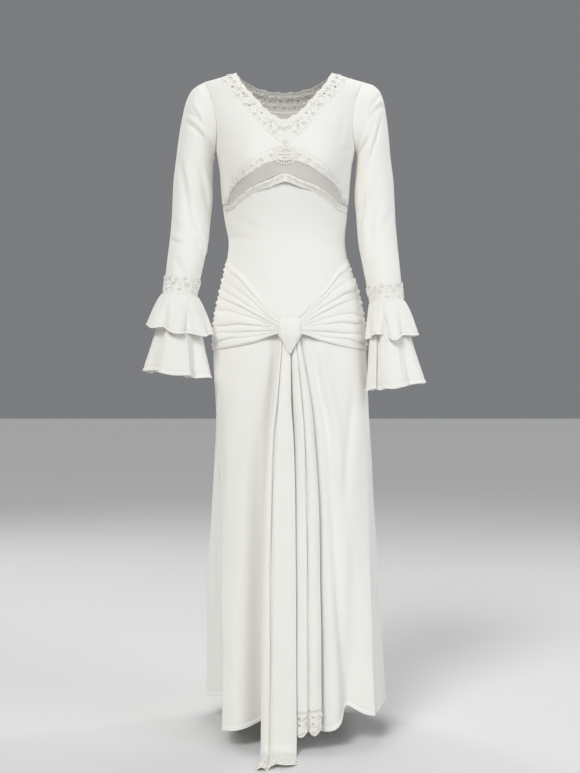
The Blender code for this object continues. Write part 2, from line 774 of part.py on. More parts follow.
def arm(collection, side, finish, lace_finish):
    """A sleeve in a front and a back half, with the lace band laid on its end."""
    word = "left" if side > 0 else "right"
    last = SLEEVE[-1].row

    def around(u):
        return math.pi * (2 * u - 1)

    def place_lace(u, v):
        low = sleeve(side, around(u), last)
        high = sleeve(side, around(u), last - 1)
        out = (low - sleeve_middle(side, last)).lerp(high - sleeve_middle(side, last - 1), 0.5)
        share = mix(CUFF_LACE_HIGH / (high.z - low.z), CUFF_LACE_END, v)
        return low.lerp(high, share) + out.normalized() * CUFF_LACE_OUT

    for half, first in (("front", 0), ("back", -math.pi)):
        ends = (first + SLEEVE_SEAM_TURN, first + math.pi - SLEEVE_SEAM_TURN)
        sheet(collection, f"sleeve_{half}_{word}", ARMHOLE_ROWS, last,
              lambda u, v, ends=ends: sleeve(side, mix(*ends, u), last * v), CLOTH, finish,
              top_seam=ARMHOLE_SEAM)
    sheet(collection, f"wrist_lace_{word}", 2 * ARMHOLE_ROWS, CUFF_LACE_ROWS, place_lace, LACE, lace_finish,
          closed=True)


def main():
    for old in list(bpy.data.objects):
        bpy.data.objects.remove(old)
    collection = bpy.data.collections.new("maxi dress")
    bpy.context.scene.collection.children.link(collection)
    jersey = material("white jersey", JERSEY_COLOUR)
    lace = material("cream lace", LACE_COLOUR)
    sheer = material("sheer mesh", SHEER_COLOUR, SHEER_COVER)

    for side in (-1, 1):
        bodice_front(collection, side, jersey)
        neck_lace(collection, side, lace)
    bodice_back(collection, jersey)
    neck_lace_back(collection, lace)
    front_band(collection, "arch_lace_upper", 2, lambda turn: band(turn, "lace_top"),
               lambda turn: band(turn, "sheer_top"), LACE, lace)
    front_band(collection, "underbust_sheer", 1, lambda turn: band(turn, "sheer_top"),
               lambda turn: band(turn, "sheer_bottom"), LACE, sheer)
    front_band(collection, "arch_lace_lower", 1, lambda turn: band(turn, "sheer_bottom"),
               lambda turn: band(turn, "lace_bottom"), LACE, lace)
    front_band(collection, "midriff_front", MIDRIFF_ROWS, lambda turn: band(turn, "lace_bottom"),
               hip_seam, CLOTH, jersey)
    skirt_half(collection, "skirt_front", -math.pi / 2, hip_seam, jersey)
    skirt_half(collection, "skirt_back", math.pi / 2, lambda turn: HIP_SEAM_SIDE, jersey)
    for side in (-1, 1):
        hip_wrap(collection, side, jersey)
        sash_tail(collection, side, jersey, lace)
        arm(collection, side, jersey, lace)
    sash_knot(collection, jersey)
    for item in FLOUNCES:
        sheet(collection, item.name, FLOUNCE_COLUMNS, FLOUNCE_ROWS,
              lambda u, v, item=item: flounce(item, math.pi * (2 * u - 1), v), CLOTH, jersey, closed=True)


if __name__ == "__main__":
    main()
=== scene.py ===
"""White maxi dress: flounced sleeves, lace V neck, sheer under-bust crescent, knotted hip sash.

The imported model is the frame. Each cloth or lace piece here lies on its solid's form, with its creases,
gathers, hems, stitches and lace. Tables are in millimetres, from the shoulder line down; meshes in metres.
"""

import math
from collections import namedtuple

import bmesh
import bpy
import numpy as np
from bpy.props import FloatProperty, FloatVectorProperty, IntProperty, PointerProperty
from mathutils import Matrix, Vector


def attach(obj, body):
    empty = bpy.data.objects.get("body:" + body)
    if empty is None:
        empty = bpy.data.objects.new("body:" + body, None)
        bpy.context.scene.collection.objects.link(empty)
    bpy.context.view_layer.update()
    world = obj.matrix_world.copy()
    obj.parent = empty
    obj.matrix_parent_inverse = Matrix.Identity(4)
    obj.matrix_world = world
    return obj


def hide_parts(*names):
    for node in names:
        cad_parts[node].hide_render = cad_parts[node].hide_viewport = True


bl_info = {
    "name": "White maxi dress",
    "version": (1, 0, 0),
    "blender": (4, 5, 0),
    "location": "3D View > Sidebar > Dress",
    "description": "Cloth, lace and stitching of a long white dress, laid on its solids",
    "category": "Object",
}

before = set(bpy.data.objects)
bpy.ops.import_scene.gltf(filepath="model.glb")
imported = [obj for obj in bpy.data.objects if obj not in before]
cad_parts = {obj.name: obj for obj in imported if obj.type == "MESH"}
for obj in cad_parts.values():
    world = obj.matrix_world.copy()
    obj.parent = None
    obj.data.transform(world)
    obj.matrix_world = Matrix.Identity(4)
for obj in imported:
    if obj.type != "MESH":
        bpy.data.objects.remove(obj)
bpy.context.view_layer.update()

MM = 0.001
SIDES = ((-1, "right"), (1, "left"))


def rows_of(kind, *values):
    """A short table: the values of each row, under the column names of its kind."""
    return tuple(kind(*row) for row in values)


HEM_DROP = 1370
FLOOR_DROP = 1409
HIP_SEAM_SIDE = 578
HIP_SEAM_CENTRE = 553
UNDERARM_DROP = 166
SHOULDER_DROP = 60
SHOULDER_TIP = 172
SHOULDER_SLOPE_START = 84
SHOULDER_SLOPE_END = 180
SHOULDER_HIGH = 8
SHOULDER_FALL = 20
SHOULDER_FADE = 150

# The worn form, as rings from the shoulder line to the hem
Ring = namedtuple("Ring", "drop half front back shift square")
BODY = rows_of(
    Ring,
    (0, SHOULDER_TIP, 66, 60, 1, 3.2), (40, 174, 72, 66, 1, 3.1), (80, 170, 82, 76, 1, 2.9),
    (120, 160, 93, 86, 2, 2.6), (166, 149, 100, 93, 4, 2.4), (205, 142, 101, 95, 4, 2.3),
    (268, 137, 95, 89, 4, 2.2), (320, 130, 86, 81, 5, 2.2), (362, 125, 82, 79, 7, 2.2),
    (419, 134, 86, 88, 9, 2.3), (462, 147, 91, 99, 12, 2.3), (527, 160, 97, 114, 12, 2.35),
    (592, 164, 101, 121, 13, 2.4), (700, 166, 108, 121, 16, 2.5), (829, 170, 116, 127, 19, 2.65),
    (916, 173, 121, 135, 20, 2.75), (1045, 178, 129, 148, 22, 2.9), (1132, 182, 134, 158, 23, 3.0),
    (1261, 187, 142, 173, 25, 3.0), (1400, 192, 150, 188, 27, 3.0))
CUP_ACROSS = 76
CUP_DROP = 214
CUP_WIDE = 46
CUP_TALL = 50
CUP_HEIGHT = 22
CUP_HOLLOW = 14

NeckPoint = namedtuple("NeckPoint", "share across drop")
NECK_CLOTH = rows_of(
    NeckPoint,
    (0.0, 146, 0), (0.25, 120, 46), (0.5, 86, 88), (0.75, 44, 132), (1.0, 0, 177))
NECK_LACE = rows_of(
    NeckPoint,
    (0.0, 104, 0), (0.25, 88, 36), (0.5, 62, 66), (0.75, 32, 98), (1.0, 0, 116))
BACK_NECK_CLOTH_DROP = 62
BACK_NECK_LACE_DROP = 26
BACK_NECK_CURVE = 2.4
BACK_SHOULDER_SHARE = 0.15
BACK_FULL = 2
ARMHOLE_ROWS = 9
SIDE_ROWS = 5
BACK_SIDE_ROWS = 9

Band = namedtuple("Band", "turn lace_top sheer_top sheer_bottom lace_bottom")
BANDS = rows_of(
    Band,
    (-14, 185, 209, 243, 259), (0, 177, 203, 230, 248), (14, 185, 209, 243, 259),
    (28, 206, 228, 255, 270), (42, 225, 243, 272, 286), (50, 240, 254, 284, 295),
    (56, 256, 267, 288, 298), (62, 270, 280, 288, 299), (75, 275, 282, 288, 299),
    (90, 272, 279, 285, 296))

WrapEdge = namedtuple("WrapEdge", "turn top bottom")
WRAP_EDGES = rows_of(
    WrapEdge,
    (0, 536, 562), (10, 526, 565), (25.5, 474, 580), (47, 424, 591), (75, 400, 593), (90, 397, 593))
WRAP_CLEAR = 2.7
WRAP_AT_KNOT = 9.0
WRAP_UNDER_KNOT = 4.0

# Pleats of the hip wraps: where each trough meets the side seam and the knot, how high the roll below it
# is, and how far from the knot the roll has gone flat
Pleat = namedtuple("Pleat", "side knot high gone")
WRAP_PLEATS_RIGHT = rows_of(
    Pleat,
    (0.0, 0.0, 2.2, 0.95), (0.09, 0.16, 3.2, 0.9), (0.20, 0.28, 3.0, 0.8), (0.31, 0.37, 3.6, 0.95),
    (0.43, 0.45, 3.6, 0.85), (0.56, 0.54, 3.8, 1.0), (0.75, 0.64, 3.4, 1.4), (0.85, 0.76, 3.8, 1.1),
    (0.92, 0.88, 3.2, 0.75), (1.0, 1.0, 0.0, 1.0))
WRAP_PLEATS_LEFT = rows_of(
    Pleat,
    (0.0, 0.0, 2.2, 0.9), (0.10, 0.10, 2.8, 0.7), (0.20, 0.19, 3.4, 1.0), (0.33, 0.29, 3.0, 0.75),
    (0.46, 0.39, 3.8, 0.95), (0.64, 0.51, 3.0, 1.4), (0.72, 0.62, 4.0, 1.2), (0.87, 0.76, 3.6, 1.2),
    (0.94, 0.88, 3.0, 0.6), (1.0, 1.0, 0.0, 1.0))
SIDE_GATHERS = 17

KNOT_ACROSS = 13.5
KNOT_TOP = 527
KNOT_BOTTOM = 604
KNOT_SQUARE = 0.75
KnotRow = namedtuple("KnotRow", "drop half base front")
KNOT = rows_of(
    KnotRow,
    (527, 21, 1.6, 14), (545, 22.8, 1.6, 24), (560, 21.5, 2.0, 26), (567, 19.5, 10.3, 26),
    (585, 12, 11.6, 22), (604, 4, 12.8, 17))

Fold = namedtuple("Fold", "turn wide deep start full")
FOLDS = rows_of(
    Fold,
    (-82, 26, -36, 580, 1370), (-61, 8, -8, 700, 1370), (-48, 8, 8, 560, 1370), (-36, 7, 7, 640, 1370),
    (-23, 6, -34, 660, 1370), (13, 5, -10, 660, 1370), (24, 6, 6, 700, 1370), (35, 7, -30, 980, 1370),
    (50, 7, 9, 860, 1370), (74, 8, -8, 800, 1370), (104, 9, 9, 700, 1370), (124, 8, -12, 720, 1370),
    (141, 9, 12, 650, 1370), (160, 8, -15, 740, 1370), (179, 9, 12, 680, 1370),
    (197, 8, -16, 760, 1370), (216, 9, 9, 660, 1370), (240, 12, 26, 600, 1050))
FOLD_GROWTH = 1.2
Lift = namedtuple("Lift", "turn wide rise")
LIFTS = rows_of(
    Lift,
    (-58, 14, -8), (34, 8, 42), (58, 12, 20), (85, 13, 40), (-20, 9, 20), (197, 7, 6), (246, 16, 12))

TailEdge = namedtuple("TailEdge", "way low high clear")
TAIL_RIGHT = rows_of(
    TailEdge,
    (0, -5, 12, 6), (32, -10, 15, 8), (140, -22, 17, 14), (200, -31, 21, 15), (350, -40, 25, 15),
    (740, -44, 27, 15), (860, -46, 27, 15), (980, -54, 22, 15))
TAIL_LEFT = rows_of(
    TailEdge,
    (0, 15, 32, 6), (32, 17, 40, 6.5), (140, 20, 58, 7), (200, 22, 64, 7.5), (350, 22, 73, 8),
    (760, 22, 78, 8))
TailFold = namedtuple("TailFold", "share height")
TAIL_RIGHT_FOLDS = rows_of(
    TailFold,
    (0.0, 0.5), (0.12, 6.5), (0.22, 5), (0.27, -2.5), (0.33, 5.5), (0.55, 7.5), (0.8, 6), (1.0, 1))
TAIL_LEFT_FOLDS = rows_of(
    TailFold,
    (0.0, 0), (0.2, 5), (0.46, 6.5), (0.53, -1.5), (0.6, 6), (0.82, 7), (1.0, 1))
TAIL_TOP = 571
TAIL_FLAT_TOP = 0.45
TAIL_FLAT_TO = 160
TAIL_LEFT_LENGTH = 758
TAIL_RIGHT_SLANT = 30
TAIL_LEFT_SLANT = 8
TAIL_FLOOR_RUN = 30
TAIL_BEND = 22
TAIL_LACE = 46
TAIL_LACE_NOTCH = 0.72
TAIL_RESTS = 0.7

SleeveRing = namedtuple("SleeveRing",
                        "row outer_across outer_drop inner_across inner_drop deep middle shift")
SLEEVE = rows_of(
    SleeveRing,
    (1, 189, 20, 153, 174, 54, 0, 5), (2, 203, 33, 154, 181, 54, 0, 4),
    (3, 213, 56, 155, 191, 53, 0, 3), (4, 220, 90, 155, 204, 51, -1, 2),
    (5, 226, 130, 155, 222, 49, -2, 1), (6, 231, 175, 154, 246, 47, -3, 0),
    (7, 237, 225, 154, 272, 46, -4, 0), (8, 239, 270, 157, 300, 45, -6, 0),
    (9, 240, 312, 159, 328, 44, -12, 0), (10, 243, 357, 162, 364, 42, -22, 0),
    (11, 247, 402, 169, 404, 39, -36, 0), (12, 250, 444, 177, 447, 36, -50, 0),
    (13, 252, 479, 184, 486, 34, -60, 0))
LAST_RING = SLEEVE[-1].row
ARMHOLE_SCOOP = 0.13
LEFT_ARM_LONGER = 15
UNDERARM_CLEAR = 1.8
CUFF_LACE_HIGH = 31
CUFF_LACE_OUT = 1.3
CUFF_LACE_END = 0.06

# Waves round a flounce's hem: the angle on the arm, how wide, how far out or in, and how far down or up
Wave = namedtuple("Wave", "angle wide out down")
WAVES_UPPER_RIGHT = rows_of(
    Wave,
    (0, 24, -4.5, 3), (-15, 7, -12, -3), (42, 12, 2, 5), (63, 9, -12, -3), (95, 55, 0, 11),
    (88, 12, 3, 4), (113, 10, -22, -2), (140, 14, 2, 5), (158, 9, -6, 0), (-36, 11, -13, -4),
    (-76, 12, -14, 4), (-118, 11, -12, -4), (-156, 10, -7, 3))
WAVES_LOWER_RIGHT = rows_of(
    Wave,
    (0, 24, -4, 1), (-14, 6, -13, 4), (17, 6, -7, 2), (46, 10, -30, -2), (88, 20, 5, 4),
    (140, 14, -22, 3), (-28, 11, -13, 4), (-66, 12, -15, -3), (-108, 12, -13, 4), (-150, 11, -8, -2))
WAVES_UPPER_LEFT = rows_of(
    Wave,
    (0, 24, -5, 5), (-14, 7, -12, 3), (48, 22, 2, 5), (66, 9, -17, -1), (90, 13, 5, 12),
    (111, 9, -19, -4), (132, 16, 2, -6), (156, 10, -7, 0), (-34, 11, -12, 4), (-74, 12, -14, -4),
    (-116, 11, -12, 4), (-154, 10, -7, -2))
WAVES_LOWER_LEFT = rows_of(
    Wave,
    (0, 24, -4, 0), (-15, 6, -13, -4), (18, 6, -8, 3), (58, 13, -16, 1), (98, 20, 5, 5),
    (131, 6, -8, 3), (162, 10, 3, 3), (-30, 11, -13, -3), (-70, 12, -15, 4), (-112, 12, -13, -3),
    (-150, 11, -8, 2))

# Folded edges that run down a piece: the turn at their top and at the hem in degrees, which way the upper
# layer lies, where they begin and are full, how far the edge stands up and the cloth behind it falls back,
# and how far each of the two reaches
Ledge = namedtuple("Ledge", "turn to_turn side start full high deep wide reach")
LEDGE_SHARP = 0.9
LEDGE_SWAY = 0.4
LEDGE_SWAY_RATE = 9
LEDGE_NEAR = 2.5
LEDGE_STEP = 0.85
LEDGES_UPPER_RIGHT = rows_of(Ledge, (116, 121, -1, 0.1, 0.8, 0.6, 5.5, 8, 14))
LEDGES_LOWER_RIGHT = rows_of(
    Ledge,
    (114, 118, -1, 0.05, 0.6, 0.8, 5, 8, 8), (68, 65, 1, 0.05, 0.6, 0.8, 8, 8, 6))
LEDGES_UPPER_LEFT = rows_of(Ledge, (96, 104, -1, 0.35, 1.0, 0.6, 4, 8, 16))
LEDGES_LOWER_LEFT = rows_of(
    Ledge,
    (120, 124, -1, 0.05, 0.6, 0.8, 11, 8, 5), (133, 137, 1, 0.05, 0.6, 0.8, 9, 8, 5),
    (76, 78, 1, 0.05, 0.6, 0.8, 5, 8, 8))
Flounce = namedtuple("Flounce", "name side seam_in across half deep outer_drop inner_drop flare grown waves "
                                "edges")
FLOUNCES = rows_of(
    Flounce,
    ("upper_right", -1, 4, 219, 73, 50, 537, 559, 0.8, 0.8, WAVES_UPPER_RIGHT, LEDGES_UPPER_RIGHT),
    ("lower_right", -1, -0.1, 225, 74, 48, 636, 652, 1.25, 0.42, WAVES_LOWER_RIGHT, LEDGES_LOWER_RIGHT),
    ("upper_left", 1, 4, 230, 58, 47, 558, 571, 0.8, 1.1, WAVES_UPPER_LEFT, LEDGES_UPPER_LEFT),
    ("lower_left", 1, -0.1, 239, 64, 47, 662, 677, 1.3, 0.42, WAVES_LOWER_LEFT, LEDGES_LOWER_LEFT))
FLOUNCE_OUT = 1.7
GATHER_HIGH = 0.45
FLOUNCE_TALL = 95
FLOUNCE_DIP, FLOUNCE_DIP_ABOVE, FLOUNCE_DIP_WIDE = 0.8, 4.2, 1.6
WRIST_MIDDLE = -64

# Creases, listed one by one: a soft trough with a ridge beside it, from one place to another on the piece. A
# place is the distance from the centre line and the drop on the body, the angle round the arm and the drop on
# a sleeve, and the turn and the drop on the skirt.
Crease = namedtuple("Crease", "across drop to_across to_drop wide deep bend")
CUP_CREASES = rows_of(
    Crease,
    (128, 92, 104, 178, 9, 1.6, 6), (140, 118, 122, 190, 7, 1.3, 4), (139, 168, 96, 196, 6, 0.9, -3),
    (137, 192, 92, 246, 7, 0.7, 3), (60, 150, 84, 196, 12, -0.6, 4))
MIDRIFF_CREASES = rows_of(
    Crease,
    (-118, 318, -52, 344, 8, 0.8, 4), (-122, 352, -60, 362, 7, 0.8, -3),
    (120, 330, 58, 352, 8, 0.8, -4), (122, 372, 64, 372, 7, 0.7, 3), (-70, 420, -14, 510, 9, 0.8, -4),
    (66, 410, 30, 506, 9, 0.8, 4), (-8, 300, 4, 420, 16, -0.5, 4), (24, 440, 14, 520, 8, 0.7, 2))
BACK_CREASES = rows_of(
    Crease,
    (-112, 318, -20, 342, 9, 1.6, 5), (112, 326, 28, 350, 9, 1.5, -5),
    (-104, 356, -30, 372, 8, 1.4, -4), (108, 372, 20, 384, 9, 1.3, 4), (-96, 396, -24, 398, 9, 1.0, 3),
    (-138, 110, -84, 196, 10, 1.6, 6), (138, 116, 90, 190, 10, 1.4, -6),
    (-120, 210, -66, 262, 10, 0.9, 4), (122, 204, 60, 268, 10, 0.9, -4),
    (-40, 90, -34, 220, 16, 0.6, 5), (36, 96, 44, 214, 16, 0.6, -5), (-60, 430, -84, 560, 12, 0.9, 5),
    (66, 436, 82, 562, 12, 0.9, -5))
SLEEVE_RIGHT_CREASES = rows_of(
    Crease,
    (55, 119, 96, 105, 3.4, 1.8, 0), (45, 135, 106, 105, 3.8, 2.2, 1),
    (48, 150, 128, 107, 4.4, 2.6, -1), (102, 130, 152, 106, 6, 2.8, 1), (47, 214, 88, 322, 8, 2.6, 5),
    (88, 305, 150, 388, 7, 2.8, -4), (107, 188, 147, 262, 8, 3.0, 4), (122, 236, 154, 280, 5, 2.4, 2),
    (24, 361, 80, 368, 4.5, 3.0, -3), (20, 326, 62, 338, 6, 1.0, 3), (120, 360, 172, 402, 6, 1.8, 3),
    (60, 400, 110, 446, 7, 1.2, -3), (-60, 84, -112, 128, 8, 2.2, 3), (-50, 130, -120, 206, 9, 2.0, -5),
    (-74, 214, -104, 330, 9, 1.8, 5), (-60, 336, -130, 356, 6, 1.8, 3),
    (-76, 372, -140, 384, 6, 1.4, -3), (-40, 402, -96, 448, 8, 1.1, 3))
SLEEVE_LEFT_CREASES = rows_of(
    Crease,
    (36, 111, 84, 98, 3.4, 2.0, -1), (24, 130, 92, 102, 3.8, 2.4, -1), (50, 136, 118, 198, 6, 3.0, 4),
    (88, 236, 117, 372, 8, 3.4, 4), (106, 130, 156, 106, 6, 2.6, 1), (120, 236, 158, 330, 7, 1.8, -4),
    (36, 300, 80, 352, 7, 1.2, 3), (66, 449, 4, 447, 5, 1.6, 2), (110, 392, 160, 440, 7, 1.4, 3),
    (-56, 74, -108, 118, 8, 2.2, -3), (-46, 138, -114, 210, 9, 1.9, 5),
    (-80, 224, -112, 340, 9, 1.7, -5), (-58, 344, -126, 366, 6, 1.8, 3),
    (-70, 384, -136, 398, 6, 1.3, -3), (-36, 418, -100, 460, 8, 1.1, 3))
# How a crease fades in and out along its length, and the ridge beside its trough
CREASE_FADE_IN = (-0.15, 0.3)
CREASE_FADE_OUT = (0.6, 1.15)
RIDGE_HIGH = 0.6
RIDGE_AWAY = 1.8
RIDGE_WIDE = 1.3
# Faint swells and ripples of limp cloth: how far apart they lie across and down, and how high they are
SWELL = (23, 31, 0.35)
RIPPLE = (11, 47, 0.15)
# Steps of the search for a turn, and the share of a surface over which its slope is taken
HALVINGS = 36
SLOPE_STEP = 0.002


def smooth(value, start, end):
    """0 before start, 1 after end, with an even slope into both."""
    share = np.clip((value - start) / (end - start), 0.0, 1.0)
    return share * share * (3 - 2 * share)


def mix(first, second, share):
    return first + (second - first) * share


def bump(distance, wide):
    """A soft round hump, 1 at its middle."""
    return np.exp(-(distance / wide) ** 2)


def read(rows, at, column):
    """Reads one column of a table at places between its rows, along a smooth curve."""
    places = np.array([row[0] for row in rows], float)
    values = np.array([getattr(row, column) for row in rows], float)
    at = np.clip(np.asarray(at, float), places[0], places[-1])
    upper = np.clip(np.searchsorted(places, at), 1, len(places) - 1)
    lower = upper - 1
    before = np.maximum(0, lower - 1)
    after = np.minimum(len(places) - 1, upper + 1)
    span = places[upper] - places[lower]
    share = (at - places[lower]) / span
    start = (values[upper] - values[before]) / (places[upper] - places[before]) * span
    end = (values[after] - values[lower]) / (places[after] - places[lower]) * span
    square, cube = share ** 2, share ** 3
    return (values[lower] * (2 * cube - 3 * square + 1) + start * (cube - 2 * square + share)
            + values[upper] * (3 * square - 2 * cube) + end * (cube - square))


def point(across, deep, high):
    """Points from three arrays, in metres."""
    return np.stack(np.broadcast_arrays(across, deep, high), axis=-1) * MM


def cup(across, drop):
    """How far the cups stand out at a place on the bodice front, with a soft hollow where they meet."""
    aside = np.sqrt(across ** 2 + CUP_HOLLOW ** 2) - CUP_ACROSS
    return CUP_HEIGHT * bump(aside, CUP_WIDE) * bump(drop - CUP_DROP, CUP_TALL)


def ring_round(turn, square):
    """Size of a rounded square of half width 1 in the direction of a turn."""
    return (np.abs(np.sin(turn)) ** square + np.abs(np.cos(turn)) ** square) ** (-1 / square)


def width_at(turn, drop):
    """Share of the form's half width at a turn and a drop."""
    return ring_round(turn, read(BODY, drop, "square")) * np.sin(turn)


def turn_of(share, square):
    """The turn between -90 and 90 degrees at which a rounded square reaches a share of its half width."""
    share, square = np.broadcast_arrays(np.asarray(share, float), np.asarray(square, float))
    low = np.full(share.shape, -math.pi / 2)
    high = np.full(share.shape, math.pi / 2)
    for _ in range(HALVINGS):
        middle = (low + high) / 2
        under = ring_round(middle, square) * np.sin(middle) < share
        low = np.where(under, middle, low)
        high = np.where(under, high, middle)
    return (low + high) / 2


def turn_at(across, drop):
    """The turn at which the front of the form lies some way to the left of its centre line."""
    share = np.minimum(1.0, across / read(BODY, drop, "half"))
    return turn_of(share, read(BODY, drop, "square"))


def across_of(turn, drop):
    """Distance from the centre line, in millimetres, at a turn and a drop."""
    return width_at(turn, drop) * read(BODY, drop, "half")


def body(turn, drop):
    """Points of the worn form. A turn of 0 is the centre front and +90 degrees the wearer's left."""
    front = np.cos(turn) > 0
    rise = 1 - np.clip(drop / SHOULDER_DROP, 0.0, 1.0)
    depth = np.where(front, read(BODY, drop, "front"), read(BODY, drop, "back")) * np.sqrt(1 - rise ** 2)
    size = ring_round(turn, read(BODY, drop, "square"))
    across = across_of(turn, drop)
    deep = depth * size * np.cos(turn)
    deep = deep + np.where(front, cup(across, drop) * np.sqrt(np.maximum(np.cos(turn), 0.0)), 0.0)
    slope = SHOULDER_HIGH - SHOULDER_FALL * smooth(np.abs(across), SHOULDER_SLOPE_START, SHOULDER_SLOPE_END)
    high = slope * (1 - smooth(drop, 0, SHOULDER_FADE)) - drop
    return point(across + read(BODY, drop, "shift"), -deep, high)


def away(turn, degrees):
    """Distance between two directions, in degrees, the short way round."""
    return (np.degrees(turn) - degrees + 180) % 360 - 180


def creases(table, across, drop, scale=1.0):
    """Relief of a table of creases at places on a piece, in millimetres."""
    total = np.zeros(np.broadcast(across, drop).shape)
    for row in table:
        run_across = (row.to_across - row.across) * scale
        run_drop = row.to_drop - row.drop
        length = math.hypot(run_across, run_drop)
        from_across = (across - row.across) * scale
        from_drop = drop - row.drop
        along = (from_across * run_across + from_drop * run_drop) / length ** 2
        aside = (from_across * run_drop - from_drop * run_across) / length
        aside = (aside - row.bend * 4 * along * (1 - along)) / row.wide
        fade = smooth(along, *CREASE_FADE_IN) * (1 - smooth(along, *CREASE_FADE_OUT))
        total += row.deep * fade * (RIDGE_HIGH * bump(aside - RIDGE_AWAY, RIDGE_WIDE) - bump(aside, 1.0))
    return total


def ledges(table, turn, down, bottom):
    """Relief of folded edges, in millimetres, at turns in degrees and places on the way to the bottom."""
    total = np.zeros(np.broadcast(turn, down).shape)
    for row in table:
        share = np.clip((down - row.start) / (bottom - row.start), 0.0, 1.0)
        place = mix(row.turn, row.to_turn, 1 - (1 - share) ** 2)
        place = place + LEDGE_SWAY * np.sin(LEDGE_SWAY_RATE * share)
        aside = ((turn - place + 180) % 360 - 180) * row.side
        near = np.exp(-np.abs(aside) / row.wide) * row.high
        behind = -np.exp(-np.abs(aside) / row.reach) * row.deep
        step = mix(behind, near, smooth(aside, -LEDGE_SHARP, LEDGE_SHARP))
        total += step * smooth(down, row.start, row.full)
    return total


def closer(count, table, start, whole):
    """Shares of the way round a piece, closer together along its folded edges."""
    places = [np.linspace(0.0, 1.0, count + 1)]
    for row in table:
        low, high = sorted((row.turn, row.to_turn))
        first = (low - LEDGE_NEAR - start) % 360 / whole
        last = first + (high - low + 2 * LEDGE_NEAR) / whole
        if last < 1:
            places.append(np.arange(first, last, LEDGE_STEP / whole))
    places = np.unique(np.concatenate(places).round(5))
    return places[np.concatenate(([True], np.diff(places) > LEDGE_STEP / whole / 3))]


def softness(across, drop, seed):
    """Faint unevenness of limp cloth, in millimetres."""
    swell = np.sin(across / SWELL[0] + seed) * np.sin(drop / SWELL[1] + 1.7 * seed)
    ripple = np.sin(across / RIPPLE[0] - drop / RIPPLE[1] + 2.3 * seed)
    return SWELL[2] * swell + RIPPLE[2] * ripple


def surface(place, relief=None, flip=False, closed=False):
    """A piece's surface: points from two shares, moved out along the surface by its relief and a lift."""
    step = SLOPE_STEP

    def at(u, v, lift=0.0):
        u, v = np.broadcast_arrays(np.asarray(u, float), np.asarray(v, float))
        left, right = (u - step, u + step) if closed else (np.maximum(0, u - step), np.minimum(1, u + step))
        along = place(right, v) - place(left, v)
        upper, lower = np.maximum(v - step, np.minimum(v, 0)), np.minimum(v + step, np.maximum(v, 1))
        down = place(u, lower) - place(u, upper)
        out = np.cross(down, along)
        out /= np.maximum(np.linalg.norm(out, axis=-1, keepdims=True), 1e-12) * (-1 if flip else 1)
        raised = lift + (relief(u, v) if relief else 0.0)
        return place(u, v) + out * (np.asarray(raised) * MM)[..., None]

    at.flip = flip
    at.closed = closed
    return at


def linear(code):
    """A colour from its sRGB hex code, as linear red, green, blue and 1."""
    parts = [int(code[index:index + 2], 16) / 255 for index in (1, 3, 5)]
    return [part / 12.92 if part <= 0.04045 else ((part + 0.055) / 1.055) ** 2.4 for part in parts] + [1.0]


def colour(name, description, code):
    return FloatVectorProperty(name=name, description=description, default=linear(code), size=4, min=0.0,
                               max=1.0, subtype="COLOR")


def length(name, description, millimetres):
    return FloatProperty(name=name, description=description, default=millimetres * MM, min=0.0,
                         unit="LENGTH")


class DressSizes(bpy.types.PropertyGroup):
    """Sizes of the cloth, lace and sewing."""
    cloth: length("Cloth", "Thickness of the jersey", 0.9)
    sheer: length("Sheer mesh", "Thickness of the under-bust mesh", 0.4)
    lace: length("Lace", "Thickness of the lace ground", 0.5)
    hem: length("Skirt hem", "Width of the turned hem of the skirt", 6.0)
    hem_edge: length("Hem edge", "Radius of the fold along the skirt's turned hem", 1.0)
    rolled_hem: length("Rolled hem", "Width of the rolled hem of a flounce", 3.5)
    stitch: length("Stitch", "Distance from one stitch to the next", 3.2)
    thread: length("Thread", "Radius of the sewing thread, as coarse as it needs to show", 0.32)
    cord: length("Lace cord", "Radius of the cord along the edge of the lace", 0.75)
    picot: length("Picot", "Distance between the small loops on the edge of the lace", 2.8)
    flower: length("Flower", "Radius of a lace flower", 6.6)
    gathers: IntProperty(name="Flounce gathers", description="Small gathers round the top of a flounce",
                         default=34, min=4, max=120)


class DressColours(bpy.types.PropertyGroup):
    """Colours of the dress and its stage."""
    jersey: colour("Jersey", "White stretch jersey", "#F5F3ED")
    jersey_shade: colour("Jersey, second tone", "Where the jersey is a little thinner", "#EFEDE6")
    lace: colour("Lace", "Creamy white lace", "#F9F7F1")
    # Second lace tone: painted shade in the gaps between the net's threads, and a random second tone of the
    # lace thread and the sheer mesh
    lace_painted_shade_and_tone: colour("Lace, second tone", "Hollows of the lace", "#EEEBE3")
    sheer: colour("Sheer mesh", "Fine see-through mesh", "#CFC6C1")
    thread: colour("Thread", "Sewing thread", "#FAFAF8")
    floor: colour("Floor", "Pale studio floor", "#E6E6E4")
    air: colour("Surroundings", "Soft light all round", "#A9ABAE")


def add_node(tree, kind, settings=None, inputs=None):
    """Adds a node, sets what it is told and links or fills its inputs, by name or by number."""
    node = tree.nodes.new(kind)
    for name, value in (settings or {}).items():
        setattr(node, name, value)
    for name, value in (inputs or {}).items():
        if isinstance(value, bpy.types.NodeSocket):
            tree.links.new(value, node.inputs[name])
        else:
            node.inputs[name].default_value = value
    return node


def new_material(name, base, roughness, **values):
    """A material with its plain values on the shader's own sockets. Gives the material, tree and shader."""
    material = bpy.data.materials.new(name)
    material.use_nodes = True
    tree = material.node_tree
    shader = tree.nodes["Principled BSDF"]
    shader.inputs["Base Color"].default_value = base
    shader.inputs["Roughness"].default_value = roughness
    for key, value in values.items():
        shader.inputs[key.replace("_", " ")].default_value = value
    return material, tree, shader


KNIT_PITCH = 1.6
KNIT_SHORT = 0.7
MESH_PITCH = 1.8
NET_PITCH = 2.4
WAVE_PERIOD = 0.314
GLOW_REACH = (0.004, 0.004, 0.0035)


